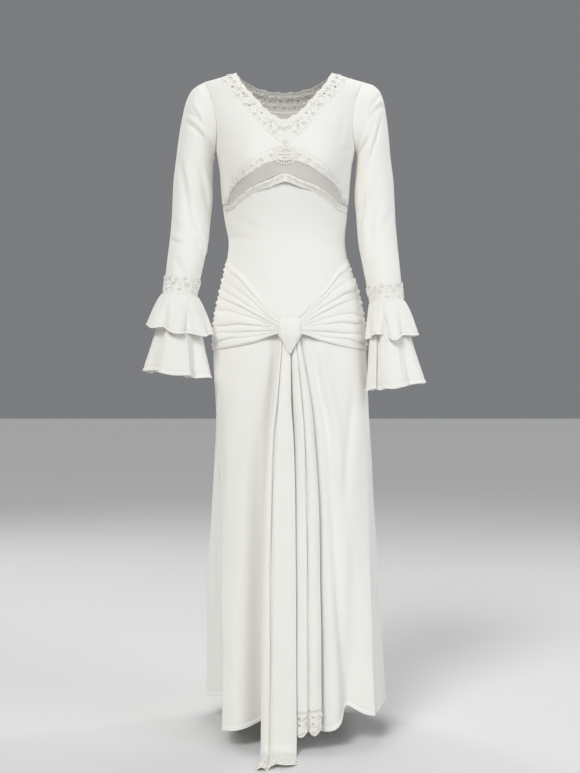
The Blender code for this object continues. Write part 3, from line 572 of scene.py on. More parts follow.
def noise(tree, scale, **values):
    """Unevenness over a piece, at a scale in cells to the metre."""
    place = add_node(tree, "ShaderNodeTexCoord").outputs["Object"]
    cells = add_node(tree, "ShaderNodeTexNoise", inputs={"Vector": place, "Scale": scale, **values})
    return cells.outputs["Fac"]


def threads(tree, pitch, direction="X", slant=0.0):
    """Height of round threads that lie side by side on the piece's own map, a pitch in millimetres apart."""
    place = add_node(tree, "ShaderNodeTexCoord").outputs["UV"]
    if slant:
        turned = add_node(tree, "ShaderNodeMapping", inputs={"Vector": place, "Rotation": (0, 0, slant)})
        place = turned.outputs["Vector"]
    wave = add_node(tree, "ShaderNodeTexWave", {"wave_profile": "SIN", "bands_direction": direction},
                    {"Vector": place, "Scale": WAVE_PERIOD / (pitch * MM)})
    return wave.outputs["Fac"]


def net_pattern(tree, pitch):
    """Height of the threads of a net, two sets that cross on the slant."""
    first, second = (threads(tree, pitch, slant=math.radians(slant)) for slant in (45, -45))
    return add_node(tree, "ShaderNodeMath", {"operation": "MAXIMUM"}, {0: first, 1: second}).outputs[0]


def set_tone(tree, shader, share, first, second):
    """Two tones of a colour, mixed over the piece."""
    blend = add_node(tree, "ShaderNodeMix", {"data_type": "RGBA"}, {"Factor": share, "A": first, "B": second})
    tree.links.new(blend.outputs["Result"], shader.inputs["Base Color"])


def set_cover(tree, shader, net, **limits):
    """How much the threads of a net cover, from their height."""
    inputs = {key.replace("_", " "): value for key, value in limits.items()}
    cover = add_node(tree, "ShaderNodeMapRange", inputs={"Value": net, **inputs})
    tree.links.new(cover.outputs["Result"], shader.inputs["Alpha"])


def set_bump(tree, shader, height, strength, deep, under=None):
    """Fine relief, its depth in millimetres, over other relief if it is given one."""
    inputs = {"Strength": strength, "Distance": deep * MM, "Height": height}
    if under:
        inputs["Normal"] = under
    raised = add_node(tree, "ShaderNodeBump", inputs=inputs).outputs["Normal"]
    tree.links.new(raised, shader.inputs["Normal"])
    return raised


def jersey_material():
    """White stretch jersey, finely knitted: matt, with a faint nap that lifts its edges and a soft tone."""
    colours = bpy.context.scene.dress_colours
    material, tree, shader = new_material("white jersey", colours.jersey, 0.78, Sheen_Weight=0.18, IOR=1.5,
                                          Sheen_Roughness=0.45, Subsurface_Weight=0.06,
                                          Subsurface_Radius=GLOW_REACH, Specular_IOR_Level=0.3)
    set_tone(tree, shader, noise(tree, 7.0, Detail=3.0, Roughness=0.55), colours.jersey, colours.jersey_shade)
    # Knitted columns are about 0.5 mm apart, drawn at 1.6 mm so that they show
    columns, courses = threads(tree, KNIT_PITCH), threads(tree, KNIT_PITCH * KNIT_SHORT, "Y")
    knit = add_node(tree, "ShaderNodeMath", {"operation": "MULTIPLY"}, {0: columns, 1: courses})
    fine = set_bump(tree, shader, knit.outputs["Value"], 0.25, 0.2)
    set_bump(tree, shader, noise(tree, 38.0, Detail=2.0), 0.12, 1.2, fine)
    return material


def sheer_material():
    """Sheer nylon mesh: a soft warm grey veil, seen through between its threads."""
    colours = bpy.context.scene.dress_colours
    material, tree, shader = new_material("sheer mesh", colours.sheer, 0.6, Sheen_Weight=0.15, IOR=1.5)
    set_cover(tree, shader, net_pattern(tree, MESH_PITCH), To_Min=0.58, To_Max=0.92)
    set_tone(tree, shader, noise(tree, 9.0), colours.sheer, colours.lace_painted_shade_and_tone)
    return material


def net_material():
    """Ground of cotton lace: a close net of fine threads, creamy and matt."""
    colours = bpy.context.scene.dress_colours
    material, tree, shader = new_material("lace net", colours.lace, 0.8, Sheen_Weight=0.1, IOR=1.5)
    net = net_pattern(tree, NET_PITCH)
    set_cover(tree, shader, net, From_Min=0.25, From_Max=0.7, To_Min=0.9, To_Max=1.0)
    # Painted shade: the gaps between the threads take the second, darker tone, and the tops of the threads
    # the lace colour
    set_tone(tree, shader, net, colours.lace_painted_shade_and_tone, colours.lace)
    set_bump(tree, shader, net, 0.6, 0.4)
    return material


def embroidery_material():
    """Satin-stitched cotton of the lace's flowers and cords: creamy, with a little silk in its shine."""
    colours = bpy.context.scene.dress_colours
    material, tree, shader = new_material("lace thread", colours.lace, 0.62, Sheen_Weight=0.2, IOR=1.5,
                                          Subsurface_Weight=0.25, Subsurface_Radius=GLOW_REACH)
    fibre = noise(tree, 900.0)
    set_tone(tree, shader, fibre, colours.lace, colours.lace_painted_shade_and_tone)
    set_bump(tree, shader, fibre, 0.4, 0.2)
    return material


def thread_material():
    """Spun polyester sewing thread: white, round and slightly bright."""
    colours = bpy.context.scene.dress_colours
    material, tree, shader = new_material("sewing thread", colours.thread, 0.5, Sheen_Weight=0.1, IOR=1.5)
    set_bump(tree, shader, noise(tree, 1500.0), 0.3, 0.1)
    return material


# What each finish is made by
MATERIALS = {
    "white jersey": jersey_material,
    "sheer mesh": sheer_material,
    "lace net": net_material,
    "lace thread": embroidery_material,
    "sewing thread": thread_material,
}


STITCH_SHARE = 0.74
JOIN_WITHIN = 1e-7


def finish_of(name):
    """The material of that name, made once."""
    return bpy.data.materials.get(name) or MATERIALS[name]()


def shares(count):
    return np.linspace(0.0, 1.0, count + 1)


def crowded(count, split, start, more):
    """Shares with even steps up to a split, and closer steps from a place past it to the end."""
    return np.concatenate((np.linspace(0.0, split, count), np.linspace(start, 1.0, more)))


def spans(grid):
    """Lengths of a grid's lines, across and down."""
    return [np.linalg.norm(np.diff(grid, axis=axis), axis=-1).sum(axis=axis) for axis in (0, 1)]


def grid_mesh(name, at, us, vs, holes=None):
    """A mesh of four-sided faces over a surface, with its own map in metres. Holes tells which faces go."""
    grid = at(us[:, None], vs[None, :])
    columns, rows = len(us) - 1, len(vs) - 1
    count = columns if at.closed else columns + 1
    number = (np.arange(columns + 1) % count)[:, None] * (rows + 1) + np.arange(rows + 1)[None, :]
    corners = [(0, 0), (0, 1), (1, 1), (1, 0)]
    if at.flip:
        corners.reverse()
    faces = np.stack([number[u:columns + u, v:rows + v] for u, v in corners], axis=-1).reshape(-1, 4)
    wide, tall = (lengths.mean() for lengths in spans(grid))
    chart = np.stack([np.stack((np.repeat(us[u:columns + u], rows) * wide,
                                np.tile(vs[v:rows + v], columns) * tall), axis=-1)
                      for u, v in corners], axis=1)
    if holes:
        keep = ~holes(np.repeat((us[:-1] + us[1:]) / 2, rows), np.tile((vs[:-1] + vs[1:]) / 2, columns))
        faces, chart = faces[keep], chart[keep]
    mesh = bpy.data.meshes.new(name)
    mesh.from_pydata(grid[:count].reshape(-1, 3).tolist(), [], faces.tolist())
    mesh.uv_layers.new(name="cut").data.foreach_set("uv", chart.reshape(-1))
    mesh.shade_smooth()
    if holes:
        tidy_mesh(mesh)
    return mesh


def plain_mesh(name, work):
    """Turns a working mesh into a plain one, smooth to look at, and frees it."""
    mesh = bpy.data.meshes.new(name)
    work.to_mesh(mesh)
    work.free()
    mesh.shade_smooth()
    return mesh


def tidy_mesh(mesh):
    """Takes out points that no face uses, and joins points that lie together."""
    work = bmesh.new()
    work.from_mesh(mesh)
    bmesh.ops.delete(work, geom=[vertex for vertex in work.verts if not vertex.link_faces], context="VERTS")
    bmesh.ops.remove_doubles(work, verts=work.verts, dist=JOIN_WITHIN)
    work.to_mesh(mesh)
    work.free()


def add_piece(name, mesh, materials, wall=0.0):
    """Puts a mesh into the scene as a piece of the dress, with a wall if it is told one."""
    piece = bpy.data.objects.new(name, mesh)
    bpy.context.scene.collection.objects.link(piece)
    if not mesh.materials:
        for material in materials:
            mesh.materials.append(finish_of(material))
    if wall:
        shell = piece.modifiers.new("cloth wall", "SOLIDIFY")
        shell.thickness = wall
        shell.offset = 0.0
    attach(piece, "root")
    return piece


def add_cloth(name, at, us, vs, material="white jersey",
              wall=None, holes=None, nodes=()):
    """A cloth piece that stands for the nodes of its name."""
    mesh = grid_mesh(name + "_cloth", at, us, vs, holes)
    area = sum(polygon.area for polygon in mesh.polygons)
    wall = bpy.context.scene.dress_sizes.cloth if wall is None else wall
    piece = add_piece(name + "_cloth", mesh, [material], wall)
    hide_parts(*(nodes or [name]))
    wide, tall = (float(lengths.max()) for lengths in spans(at(us[:, None], vs[None, :])))
    return piece


def tree_named(name, inputs, build):
    """The geometry tree of that name, made once: its named inputs, and what it builds from them, finished."""
    tree = bpy.data.node_groups.get(name)
    if tree:
        return tree
    tree = bpy.data.node_groups.new(name, "GeometryNodeTree")
    tree.interface.new_socket("Geometry", in_out="INPUT", socket_type="NodeSocketGeometry")
    for label, (kind, default) in {**inputs, "Material": ("Material", None)}.items():
        socket = tree.interface.new_socket(label, in_out="INPUT", socket_type="NodeSocket" + kind)
        if default is not None:
            socket.default_value = default
    tree.interface.new_socket("Geometry", in_out="OUTPUT", socket_type="NodeSocketGeometry")
    given = add_node(tree, "NodeGroupInput").outputs
    real = add_node(tree, "GeometryNodeRealizeInstances", inputs={"Geometry": build(tree, given)})
    finished = add_node(tree, "GeometryNodeSetMaterial",
                        inputs={"Geometry": real.outputs["Geometry"], "Material": given["Material"]})
    add_node(tree, "NodeGroupOutput", inputs={"Geometry": finished.outputs["Geometry"]})
    return tree


def lay(tree, points, thing, rotation, scale):
    """One instance of a thing at each point."""
    laid = add_node(tree, "GeometryNodeInstanceOnPoints",
                    inputs={"Points": points, "Instance": thing, "Rotation": rotation, "Scale": scale})
    return laid.outputs["Instances"]


def cord_nodes(tree, given):
    """Sweeps a round cord along lines."""
    line = add_node(tree, "GeometryNodeMeshToCurve", inputs={"Mesh": given["Geometry"]})
    ring = add_node(tree, "GeometryNodeCurvePrimitiveCircle",
                    inputs={"Resolution": given["Sides"], "Radius": given["Radius"]})
    swept = add_node(tree, "GeometryNodeCurveToMesh", inputs={
        "Curve": line.outputs["Curve"], "Profile Curve": ring.outputs["Curve"], "Fill Caps": True})
    return swept.outputs["Mesh"]


def stitch_nodes(tree, given):
    """Sets stitches end to end along lines, with a small space between them."""
    line = add_node(tree, "GeometryNodeMeshToCurve", inputs={"Mesh": given["Geometry"]})
    spots = add_node(tree, "GeometryNodeCurveToPoints", {"mode": "LENGTH"},
                     {"Curve": line.outputs["Curve"], "Length": given["Pitch"]})
    bead = add_node(tree, "GeometryNodeMeshUVSphere", inputs={"Segments": 6, "Rings": 4, "Radius": 1.0})
    half = add_node(tree, "ShaderNodeMath", {"operation": "MULTIPLY"}, {0: given["Length"], 1: 0.5})
    size = add_node(tree, "ShaderNodeCombineXYZ",
                    inputs={"X": given["Thread"], "Y": given["Thread"], "Z": half.outputs["Value"]})
    return lay(tree, spots.outputs["Points"], bead.outputs["Mesh"], spots.outputs["Rotation"],
               size.outputs["Vector"])


def motif_nodes(tree, given):
    """Sets a motif flat on a surface, at points that carry its outward and forward ways and its size."""
    facts = {}
    for name, kind in (("out", "FLOAT_VECTOR"), ("forward", "FLOAT_VECTOR"), ("size", "FLOAT")):
        fact = add_node(tree, "GeometryNodeInputNamedAttribute", {"data_type": kind}, {"Name": name})
        facts[name] = fact.outputs["Attribute"]
    upright = add_node(tree, "FunctionNodeAlignRotationToVector", {"axis": "Z"}, {"Vector": facts["out"]})
    turned = add_node(tree, "FunctionNodeAlignRotationToVector", {"axis": "X", "pivot_axis": "Z"},
                      {"Rotation": upright.outputs["Rotation"], "Vector": facts["forward"]})
    motif = add_node(tree, "GeometryNodeObjectInfo", inputs={"Object": given["Motif"], "As Instance": True})
    return lay(tree, given["Geometry"], motif.outputs["Geometry"], turned.outputs["Rotation"], facts["size"])


def run_tree(tree, mesh, **values):
    """Runs a geometry tree on a mesh and gives the result as a plain mesh."""
    carrier = bpy.data.objects.new("carrier", mesh)
    bpy.context.scene.collection.objects.link(carrier)
    modifier = carrier.modifiers.new("form", "NODES")
    modifier.node_group = tree
    for item in tree.interface.items_tree:
        if item.item_type == "SOCKET" and item.in_out == "INPUT" and item.name in values:
            modifier[item.identifier] = values[item.name]
    done = bpy.data.meshes.new_from_object(carrier.evaluated_get(bpy.context.evaluated_depsgraph_get()))
    bpy.data.objects.remove(carrier)
    done.shade_smooth()
    return done


def line_mesh(lines):
    """A mesh of open or closed lines: each is an array of points and whether it closes."""
    points, edges = [], []
    for line, closes in lines:
        first = len(points)
        points.extend(line.tolist())
        edges.extend((first + index, first + index + 1) for index in range(len(line) - 1))
        if closes:
            edges.append((first + len(line) - 1, first))
    mesh = bpy.data.meshes.new("lines")
    mesh.from_pydata(points, edges, [])
    return mesh


def cords(lines, radius, material="lace thread", sides=6):
    """Round cords along lines, as a plain mesh."""
    tree = tree_named("round cord", {"Radius": ("Float", 0.0005), "Sides": ("Int", 6)}, cord_nodes)
    return run_tree(tree, line_mesh(lines), Radius=radius, Sides=sides, Material=finish_of(material))


def add_stitches(name, lines):
    """Rows of stitches along lines, as a piece of their own."""
    sizes = bpy.context.scene.dress_sizes
    tree = tree_named("stitches", {"Pitch": ("Float", 0.003), "Thread": ("Float", 0.0003),
                                   "Length": ("Float", 0.0022)}, stitch_nodes)
    done = run_tree(tree, line_mesh(lines), Pitch=sizes.stitch, Thread=sizes.thread,
                    Length=sizes.stitch * STITCH_SHARE, Material=finish_of("sewing thread"))
    return add_piece(name, done, [])


def join_meshes(name, meshes):
    """Joins plain meshes into one, each with its own material kept."""
    joined = bmesh.new()
    materials = []
    for mesh in meshes:
        slots = []
        for material in mesh.materials:
            if material not in materials:
                materials.append(material)
            slots.append(materials.index(material))
        first = len(joined.faces)
        joined.from_mesh(mesh)
        joined.faces.ensure_lookup_table()
        for face in joined.faces[first:]:
            face.material_index = slots[face.material_index]
    result = bpy.data.meshes.new(name)
    joined.to_mesh(result)
    joined.free()
    for material in materials:
        result.materials.append(material)
    return result


# One motif on a lace band: where it lies along and across the band, its size in millimetres and the way it
# points, in degrees from the band's length towards its second edge
Motif = namedtuple("Motif", "along across size heading")

# An eyelet in the lace: its middle and halves, as shares of the band's length and width
Eyelet = namedtuple("Eyelet", "along across half_along half_across")

MOTIF_FACES = {"u_segments": 7, "v_segments": 4}
MOTIF_START = 0.14
MOTIF_TAPER = 0.28
HEART_FLAT = 0.7
LEAF_AWAY = 0.33
LEAF_TURN = 38
LEAF_SIZE = 0.9
SECOND_ROW_SIZE = 0.8
ROOM_AT_END = 0.3
PETAL_REACH = 1.1
# Openwork inside an oval: how far its holes spread, and how near the rim they may come
SPREAD_ALONG, SPREAD_ACROSS = 0.8, 0.55
OVAL_ALONG, OVAL_ACROSS, OVAL_LIMIT = 0.95, 0.62, 0.8

# How far the parts of the raised work stand off the ground of the lace, in millimetres
FLOWER_LIFT = 0.8
LEAF_LIFT = 0.6
RING_LIFT = 0.9
CORD_LIFT = 0.25
FINE_LIFT = 0.3
INNER_LIFT = 0.2

# How far flowers and leaves keep from eyelets and rings, as shares of their size
EYELET_CLEAR = (1.5, 1.2)
RING_CLEAR = (1.25, 1.15)
CORD_STEP = 2.2
RING_STEPS = 48
EYELET_STEPS = 16
RING_THICK = 2.0
FINE_THICK = 0.7
PICOT_CLOSE = 1.25


def seed_shape(work, direction, start, long, half, high):
    """Adds one padded satin-stitch shape, round and tapered, from near the middle outwards."""
    seed = bmesh.ops.create_uvsphere(work, radius=1.0, **MOTIF_FACES)
    for vertex in seed["verts"]:
        across, up, along = vertex.co
        taper = 1 - MOTIF_TAPER + MOTIF_TAPER * along
        reach = start + (long - start) * (along + 1) / 2
        aside = half * across * taper
        vertex.co = Vector((reach * math.cos(direction) - aside * math.sin(direction),
                            reach * math.sin(direction) + aside * math.cos(direction), high * up))


def motif_mesh(petals, long, half, high, heart):
    """A motif of radius 1: petals round a raised heart, or a single leaf."""
    work = bmesh.new()
    for number in range(petals):
        seed_shape(work, 2 * math.pi * number / petals, MOTIF_START, long, half, high)
    if heart:
        dome = bmesh.ops.create_uvsphere(work, radius=heart, **MOTIF_FACES)
        for vertex in dome["verts"]:
            vertex.co.z = (vertex.co.z + high) * HEART_FLAT
    bmesh.ops.recalc_face_normals(work, faces=work.faces)
    return plain_mesh("motif", work)


def flower_mesh():
    return motif_mesh(petals=5, long=1.0, half=0.32, high=0.25, heart=0.24)


def leaf_mesh():
    return motif_mesh(petals=1, long=1.0, half=0.28, high=0.2, heart=0)


def picot_mesh():
    return motif_mesh(petals=1, long=1.0, half=0.8, high=0.5, heart=0)


def set_motifs(at, motifs, shape, lift):
    """Lays one kind of motif on a surface and gives the plain mesh."""
    along = np.array([motif.along for motif in motifs])
    across = np.array([motif.across for motif in motifs])
    middle = at(along, across, lift)
    out = at(along, across, lift + math.copysign(1.0, lift)) - middle
    out /= np.linalg.norm(out, axis=-1, keepdims=True)
    ahead = at(along + SLOPE_STEP, across, lift) - at(along - SLOPE_STEP, across, lift)
    ahead -= out * (ahead * out).sum(axis=-1, keepdims=True)
    ahead /= np.linalg.norm(ahead, axis=-1, keepdims=True)
    aside = np.cross(out, ahead) * (1 if at.flip else -1)
    heading = np.radians([motif.heading for motif in motifs])[:, None]
    forward = ahead * np.cos(heading) + aside * np.sin(heading)
    points = bpy.data.meshes.new("points")
    points.from_pydata(middle.tolist(), [], [])
    for name, values in (("out", out), ("forward", forward)):
        points.attributes.new(name, "FLOAT_VECTOR", "POINT").data.foreach_set("vector", values.reshape(-1))
    sizes = [motif.size * MM for motif in motifs]
    points.attributes.new("size", "FLOAT", "POINT").data.foreach_set("value", sizes)
    source = bpy.data.objects.new("motif", shape)
    bpy.context.scene.collection.objects.link(source)
    tree = tree_named("lace motifs", {"Motif": ("Object", None)}, motif_nodes)
    done = run_tree(tree, points, Motif=source, Material=finish_of("lace thread"))
    bpy.data.objects.remove(source)
    return done


def spray(repeats, flower, rows, start=0.0, end=1.0):
    """A running spray for a lace band: rows of flowers, each with a pair of leaves on both sides."""
    flowers, leaves = [], []
    pitch = (end - start) / repeats
    for number in range(repeats):
        for row, across in enumerate(rows):
            along = start + (number + (0.5 if row % 2 == 0 else 1.0)) * pitch
            if along > end - ROOM_AT_END * pitch:
                continue
            size = flower * (1.0 if row % 2 == 0 else SECOND_ROW_SIZE)
            flowers.append(Motif(along, across, size, 17 + 31 * number + 40 * row))
            for side in (-1, 1):
                reach = along + side * LEAF_AWAY * pitch
                turned = 0 if side > 0 else 180
                leaves += [Motif(reach, across, size * LEAF_SIZE, turned + side * turn)
                           for turn in (LEAF_TURN, -LEAF_TURN)]
    return flowers, leaves


def clear_of(motifs, eyelets, margin):
    """The motifs whose middles lie clear of every eyelet, by a margin in shares of the eyelet's size."""
    return [motif for motif in motifs
            if not any(((motif.along - eyelet.along) / eyelet.half_along) ** 2
                       + ((motif.across - eyelet.across) / eyelet.half_across) ** 2 < margin ** 2
                       for eyelet in eyelets)]


def medallion(hollow, petals, size, long, wide):
    """Satin petals set close together round an oval hollow of a band long and wide, each pointing out."""
    laid = []
    for angle in np.linspace(0, 2 * math.pi, petals, endpoint=False):
        along, across = hollow.half_along * math.cos(angle), hollow.half_across * math.sin(angle)
        outward = math.atan2(math.sin(angle) * hollow.half_along * long,
                             math.cos(angle) * hollow.half_across * wide)
        laid.append(Motif(hollow.along + PETAL_REACH * along, hollow.across + PETAL_REACH * across, size,
                          math.degrees(outward)))
    return laid


def openwork(hollow, columns, rows, half_along, half_across):
    """Small holes in staggered rows inside an oval."""
    holes = []
    for row in range(rows):
        for column in range(columns):
            aside = (column + 0.5 * (row % 2)) / (columns - 0.5) * 2 - 1
            down = row / (rows - 1) * 2 - 1
            if (OVAL_ALONG * aside) ** 2 + (OVAL_ACROSS * down) ** 2 < OVAL_LIMIT:
                along = hollow.along + SPREAD_ALONG * aside * hollow.half_along
                across = hollow.across + SPREAD_ACROSS * down * hollow.half_across
                holes.append(Eyelet(along, across, half_along, half_across))
    return holes


def border(start, end, count, across, size, gap):
    """Flowers and leaves in turn along the edge of a band, uneven in size, with a gap in the middle."""
    flowers, leaves = [], []
    for number, along in enumerate(np.linspace(start, end, count)):
        if abs(along - (start + end) / 2) < gap:
            continue
        place = across + 0.07 * math.sin(1.7 * number)
        if number % 2:
            leaves.append(Motif(along, place, size * 0.9, 20 + 50 * math.sin(2.1 * number)))
            leaves.append(Motif(along, place, size * 0.8, 170 - 40 * math.sin(1.3 * number)))
        else:
            flowers.append(Motif(along, place, size * (0.85 + 0.2 * math.sin(2.3 * number)), 40 * number))
    return flowers, leaves


def ring_line(at, eyelet, lift, count=EYELET_STEPS):
    """A closed line round an eyelet."""
    angle = np.linspace(0, 2 * math.pi, count, endpoint=False)
    along = eyelet.along + eyelet.half_along * np.cos(angle)
    return at(along, eyelet.across + eyelet.half_across * np.sin(angle), lift), True


def edge_line(at, across, lift, count, start=0.0, end=1.0):
    """A line along a band at a share of its width."""
    steps = np.linspace(start, end, count + 1)
    if at.closed:
        return at(steps[:-1], np.full(count, across), lift), True
    return at(steps, np.full(count + 1, across), lift), False


def add_lace(node, at, long, wide, repeats, flower, rows, eyelets=(), picot_edges=(0.0,),
             cord_edges=(0.0, 1.0), inner_cords=(), worked=(0.0, 1.0), picot=1.25,
             extra=((), ()), rings=(), cell=1.9, inside=False, ground="lace net"):
    """A lace band: its net ground with the eyelets cut out, and the raised work that is stitched on it."""
    sizes = bpy.context.scene.dress_sizes

    def holes(u, v):
        gone = np.zeros(u.shape, bool)
        for eyelet in eyelets:
            gone |= (((u - eyelet.along) / eyelet.half_along) ** 2
                     + ((v - eyelet.across) / eyelet.half_across) ** 2) < 1
        return gone

    flowers, leaves = spray(repeats, flower, rows, *worked)
    flowers = clear_of(clear_of(flowers, eyelets, EYELET_CLEAR[0]), rings, RING_CLEAR[0]) + list(extra[0])
    leaves = clear_of(clear_of(leaves, eyelets, EYELET_CLEAR[1]), rings, RING_CLEAR[1]) + list(extra[1])
    work = [set_motifs(at, flowers, flower_mesh(), FLOWER_LIFT),
            set_motifs(at, leaves, leaf_mesh(), LEAF_LIFT)]
    if inside:
        work += [set_motifs(at, flowers, flower_mesh(), -FLOWER_LIFT - INNER_LIFT),
                 set_motifs(at, leaves, leaf_mesh(), -LEAF_LIFT - INNER_LIFT)]
    count = max(24, round(long / CORD_STEP))
    work.append(cords([edge_line(at, edge, CORD_LIFT, count, *worked) for edge in cord_edges], sizes.cord))
    if rings:
        lines = [ring_line(at, ring, RING_LIFT, RING_STEPS) for ring in rings]
        work.append(cords(lines, sizes.cord * RING_THICK))
    fine = [edge_line(at, edge, FINE_LIFT, count, *worked) for edge in inner_cords]
    fine += [ring_line(at, eyelet, FINE_LIFT) for eyelet in eyelets]
    if fine:
        work.append(cords(fine, sizes.cord * FINE_THICK, sides=5))
    number = max(8, round(long * (worked[1] - worked[0]) * MM / sizes.picot * PICOT_CLOSE / picot))
    picots = [Motif(mix(*worked, (index + 0.5) / number), edge, picot, -90 if edge < 0.5 else 90)
              for edge in picot_edges for index in range(number)]
    work.append(set_motifs(at, picots, picot_mesh(), 0.0))
    trim = add_piece(node + "_flowers", join_meshes(node + "_flowers", work), [])
    return add_cloth(node, at, shares(max(20, round(long / cell))), shares(max(6, round(wide / cell))),
                     material=ground, wall=sizes.lace,
                     holes=holes if eyelets else None)


NECK_SCALLOP = 3.5
NECK_FINE_SCALLOP = 0.9
BACK_NECK_SCALLOP = 2.45
NECK_UNITS = 7
NECK_FINE_UNITS = 28
NECK_COLUMNS = 4
NECK_ROWS = 14
BACK_NECK_ROWS = 20
# Half sizes of the eyelets as shares of their bands' length and width
NECK_EYELET = (4.5 / 250, 3.0 / 40)
BACK_EYELET = (2.0 / 290, 2.0 / 32)
TAIL_EYELET = (0.045, 0.055)


def neck_edge(table, share):
    """Turn and drop on the left half of the neck, from the shoulder to the centre front."""
    drop = read(table, share, "drop")
    return turn_at(read(table, share, "across"), drop), drop


def armhole(share):
    """Turn and drop on the front edge of the left armhole, from the shoulder tip to the underarm."""
    angle = math.pi * np.clip(share, 0.0, 1.0)
    drop = UNDERARM_DROP * (1 - np.cos(angle)) / 2
    reach = 1 - ARMHOLE_SCOOP * np.sin(angle) ** 2
    return turn_of(reach, read(BODY, drop, "square")), drop


def band(turn, column):
    return read(BANDS, np.abs(np.degrees(turn)), column)


def hip_seam(turn):
    """The seam between bodice and skirt, a little higher at the centre front."""
    return mix(HIP_SEAM_CENTRE, HIP_SEAM_SIDE, smooth(np.abs(turn), 0, math.radians(70)))


# The dip along the seams of the bodice, and the size of each piece between its seams, in millimetres
GROOVE_DEEP = 0.5
GROOVE_REACH = 2.5
CUP_SIZE = (120, 230)
BACK_SIZE = (300, 560)
MIDRIFF_SIZE = (330, 270)


def seam_grooves(u, v, wide, tall):
    """A piece dips a little towards its seams. Wide and tall are its size in millimetres."""
    places = (u * wide, (1 - u) * wide, v * tall, (1 - v) * tall)
    return -GROOVE_DEEP * np.minimum(1.0, sum(bump(place, GROOVE_REACH) for place in places))


def limp(table, turn, drop, seed, grooves, full=1.0):
    """Relief of a plain piece of the bodice: its creases, faint unevenness and seams."""
    across = across_of(turn, drop)
    return full * creases(table, across, drop) + softness(across, drop, seed) + grooves


def cup_panel(u, v):
    """Turn and drop on the left front of the bodice, from its neck edge to its side and down to the band."""
    split = ARMHOLE_ROWS / (ARMHOLE_ROWS + SIDE_ROWS)

    def side_edge(share):
        turn, drop = armhole(share / split)
        down = np.clip((share - split) / (1 - split), 0.0, 1.0)
        low = mix(UNDERARM_DROP, BANDS[-1].lace_top, down)
        return np.where(share < split, turn, math.pi / 2), np.where(share < split, drop, low)

    def lower_edge(share):
        turn = math.pi / 2 * np.asarray(share, float)
        return turn, band(turn, "lace_top")

    def width(edge):
        return width_at(*edge)

    neck, side = neck_edge(NECK_CLOTH, v), side_edge(v)
    start, end = width(lower_edge(0.0)), width(lower_edge(1.0))
    share = mix(u, (width(lower_edge(u)) - start) / (end - start), v)
    across = mix(width(neck), width(side), share)
    low_bend = neck[1] - neck_edge(NECK_CLOTH, 1.0)[1] * v
    high_bend = side[1] - side_edge(np.float64(1.0))[1] * v
    drop = lower_edge(u)[1] * v + mix(low_bend, high_bend, share)
    return turn_of(across, read(BODY, drop, "square")), drop


def bodice_front(side):
    """One cup of the V neck."""
    def place(u, v):
        turn, drop = cup_panel(u, v)
        return body(side * turn, drop)

    def relief(u, v):
        turn, drop = cup_panel(u, v)
        across = side * across_of(turn, drop)
        soft = creases(CUP_CREASES, across, drop) + softness(across, drop, side)
        return soft + seam_grooves(u, v, *CUP_SIZE)

    return surface(place, relief, flip=side < 0)


def back_neck(share, centre_drop, across):
    """Turn and drop along the back neck edge, from the wearer's left to right."""
    aside = 2 * share - 1
    return math.pi + aside * turn_at(across, 0), centre_drop * (1 - np.abs(aside) ** BACK_NECK_CURVE)


def back_panel(u, v):
    """Turn and drop on the back, from the neck and shoulders to the hip seam."""
    split = ARMHOLE_ROWS / (ARMHOLE_ROWS + BACK_SIDE_ROWS)
    shoulder = BACK_SHOULDER_SHARE

    def neck(share):
        return back_neck(share, BACK_NECK_CLOTH_DROP, NECK_CLOTH[0].across)

    def top(share):
        low, high = neck(0)[0], neck(1)[0]
        turn, drop = neck(np.clip((share - shoulder) / (1 - 2 * shoulder), 0, 1))
        turn = np.where(share < shoulder, mix(math.pi / 2, low, share / shoulder), turn)
        past = mix(high, 1.5 * math.pi, (share - 1 + shoulder) / shoulder)
        turn = np.where(share > 1 - shoulder, past, turn)
        return turn, np.where((share < shoulder) | (share > 1 - shoulder), 0.0, drop)

    def left_side(share):
        turn, drop = armhole(share / split)
        low = mix(UNDERARM_DROP, HIP_SEAM_SIDE, (share - split) / (1 - split))
        return np.where(share < split, math.pi - turn, math.pi / 2), np.where(share < split, drop, low)

    def right_side(share):
        turn, drop = left_side(share)
        return 2 * math.pi - turn, drop

    result = []
    corners = ((math.pi / 2, 0.0), (1.5 * math.pi, 0.0))
    for axis, reach in ((0, shoulder), (1, 0.5)):
        bottom = (mix(math.pi / 2, 1.5 * math.pi, u), HIP_SEAM_SIDE)[axis]
        low_bend = left_side(v)[axis] - mix(corners[0][axis], (math.pi / 2, HIP_SEAM_SIDE)[axis], v)
        high_bend = right_side(v)[axis] - mix(corners[1][axis], (1.5 * math.pi, HIP_SEAM_SIDE)[axis], v)
        sides = low_bend * np.maximum(0.0, 1 - u / reach) + high_bend * np.maximum(0.0, 1 - (1 - u) / reach)
        result.append(mix(top(u)[axis], bottom, v) + sides)
    return result


def bodice_back():
    """The plain back, from the shoulders to the hip seam."""
    def relief(u, v):
        turn, drop = back_panel(u, v)
        return limp(BACK_CREASES, turn, drop, 5, seam_grooves(u, v, *BACK_SIZE), BACK_FULL)

    return surface(lambda u, v: body(*back_panel(u, v)), relief)


def neck_lace(side):
    """The scalloped lace inside one side of the V neck, its length from the shoulder to the centre."""
    def place(u, v):
        inner, outer = neck_edge(NECK_LACE, u), neck_edge(NECK_CLOTH, u)
        scallop = NECK_SCALLOP * np.abs(np.sin(u * NECK_UNITS * math.pi)) * (1 - v)
        scallop = scallop + NECK_FINE_SCALLOP * np.abs(np.sin(u * NECK_FINE_UNITS * math.pi)) * (1 - v) ** 3
        return body(side * mix(inner[0], outer[0], v), mix(inner[1], outer[1], v) + scallop)

    return surface(place, flip=side > 0)


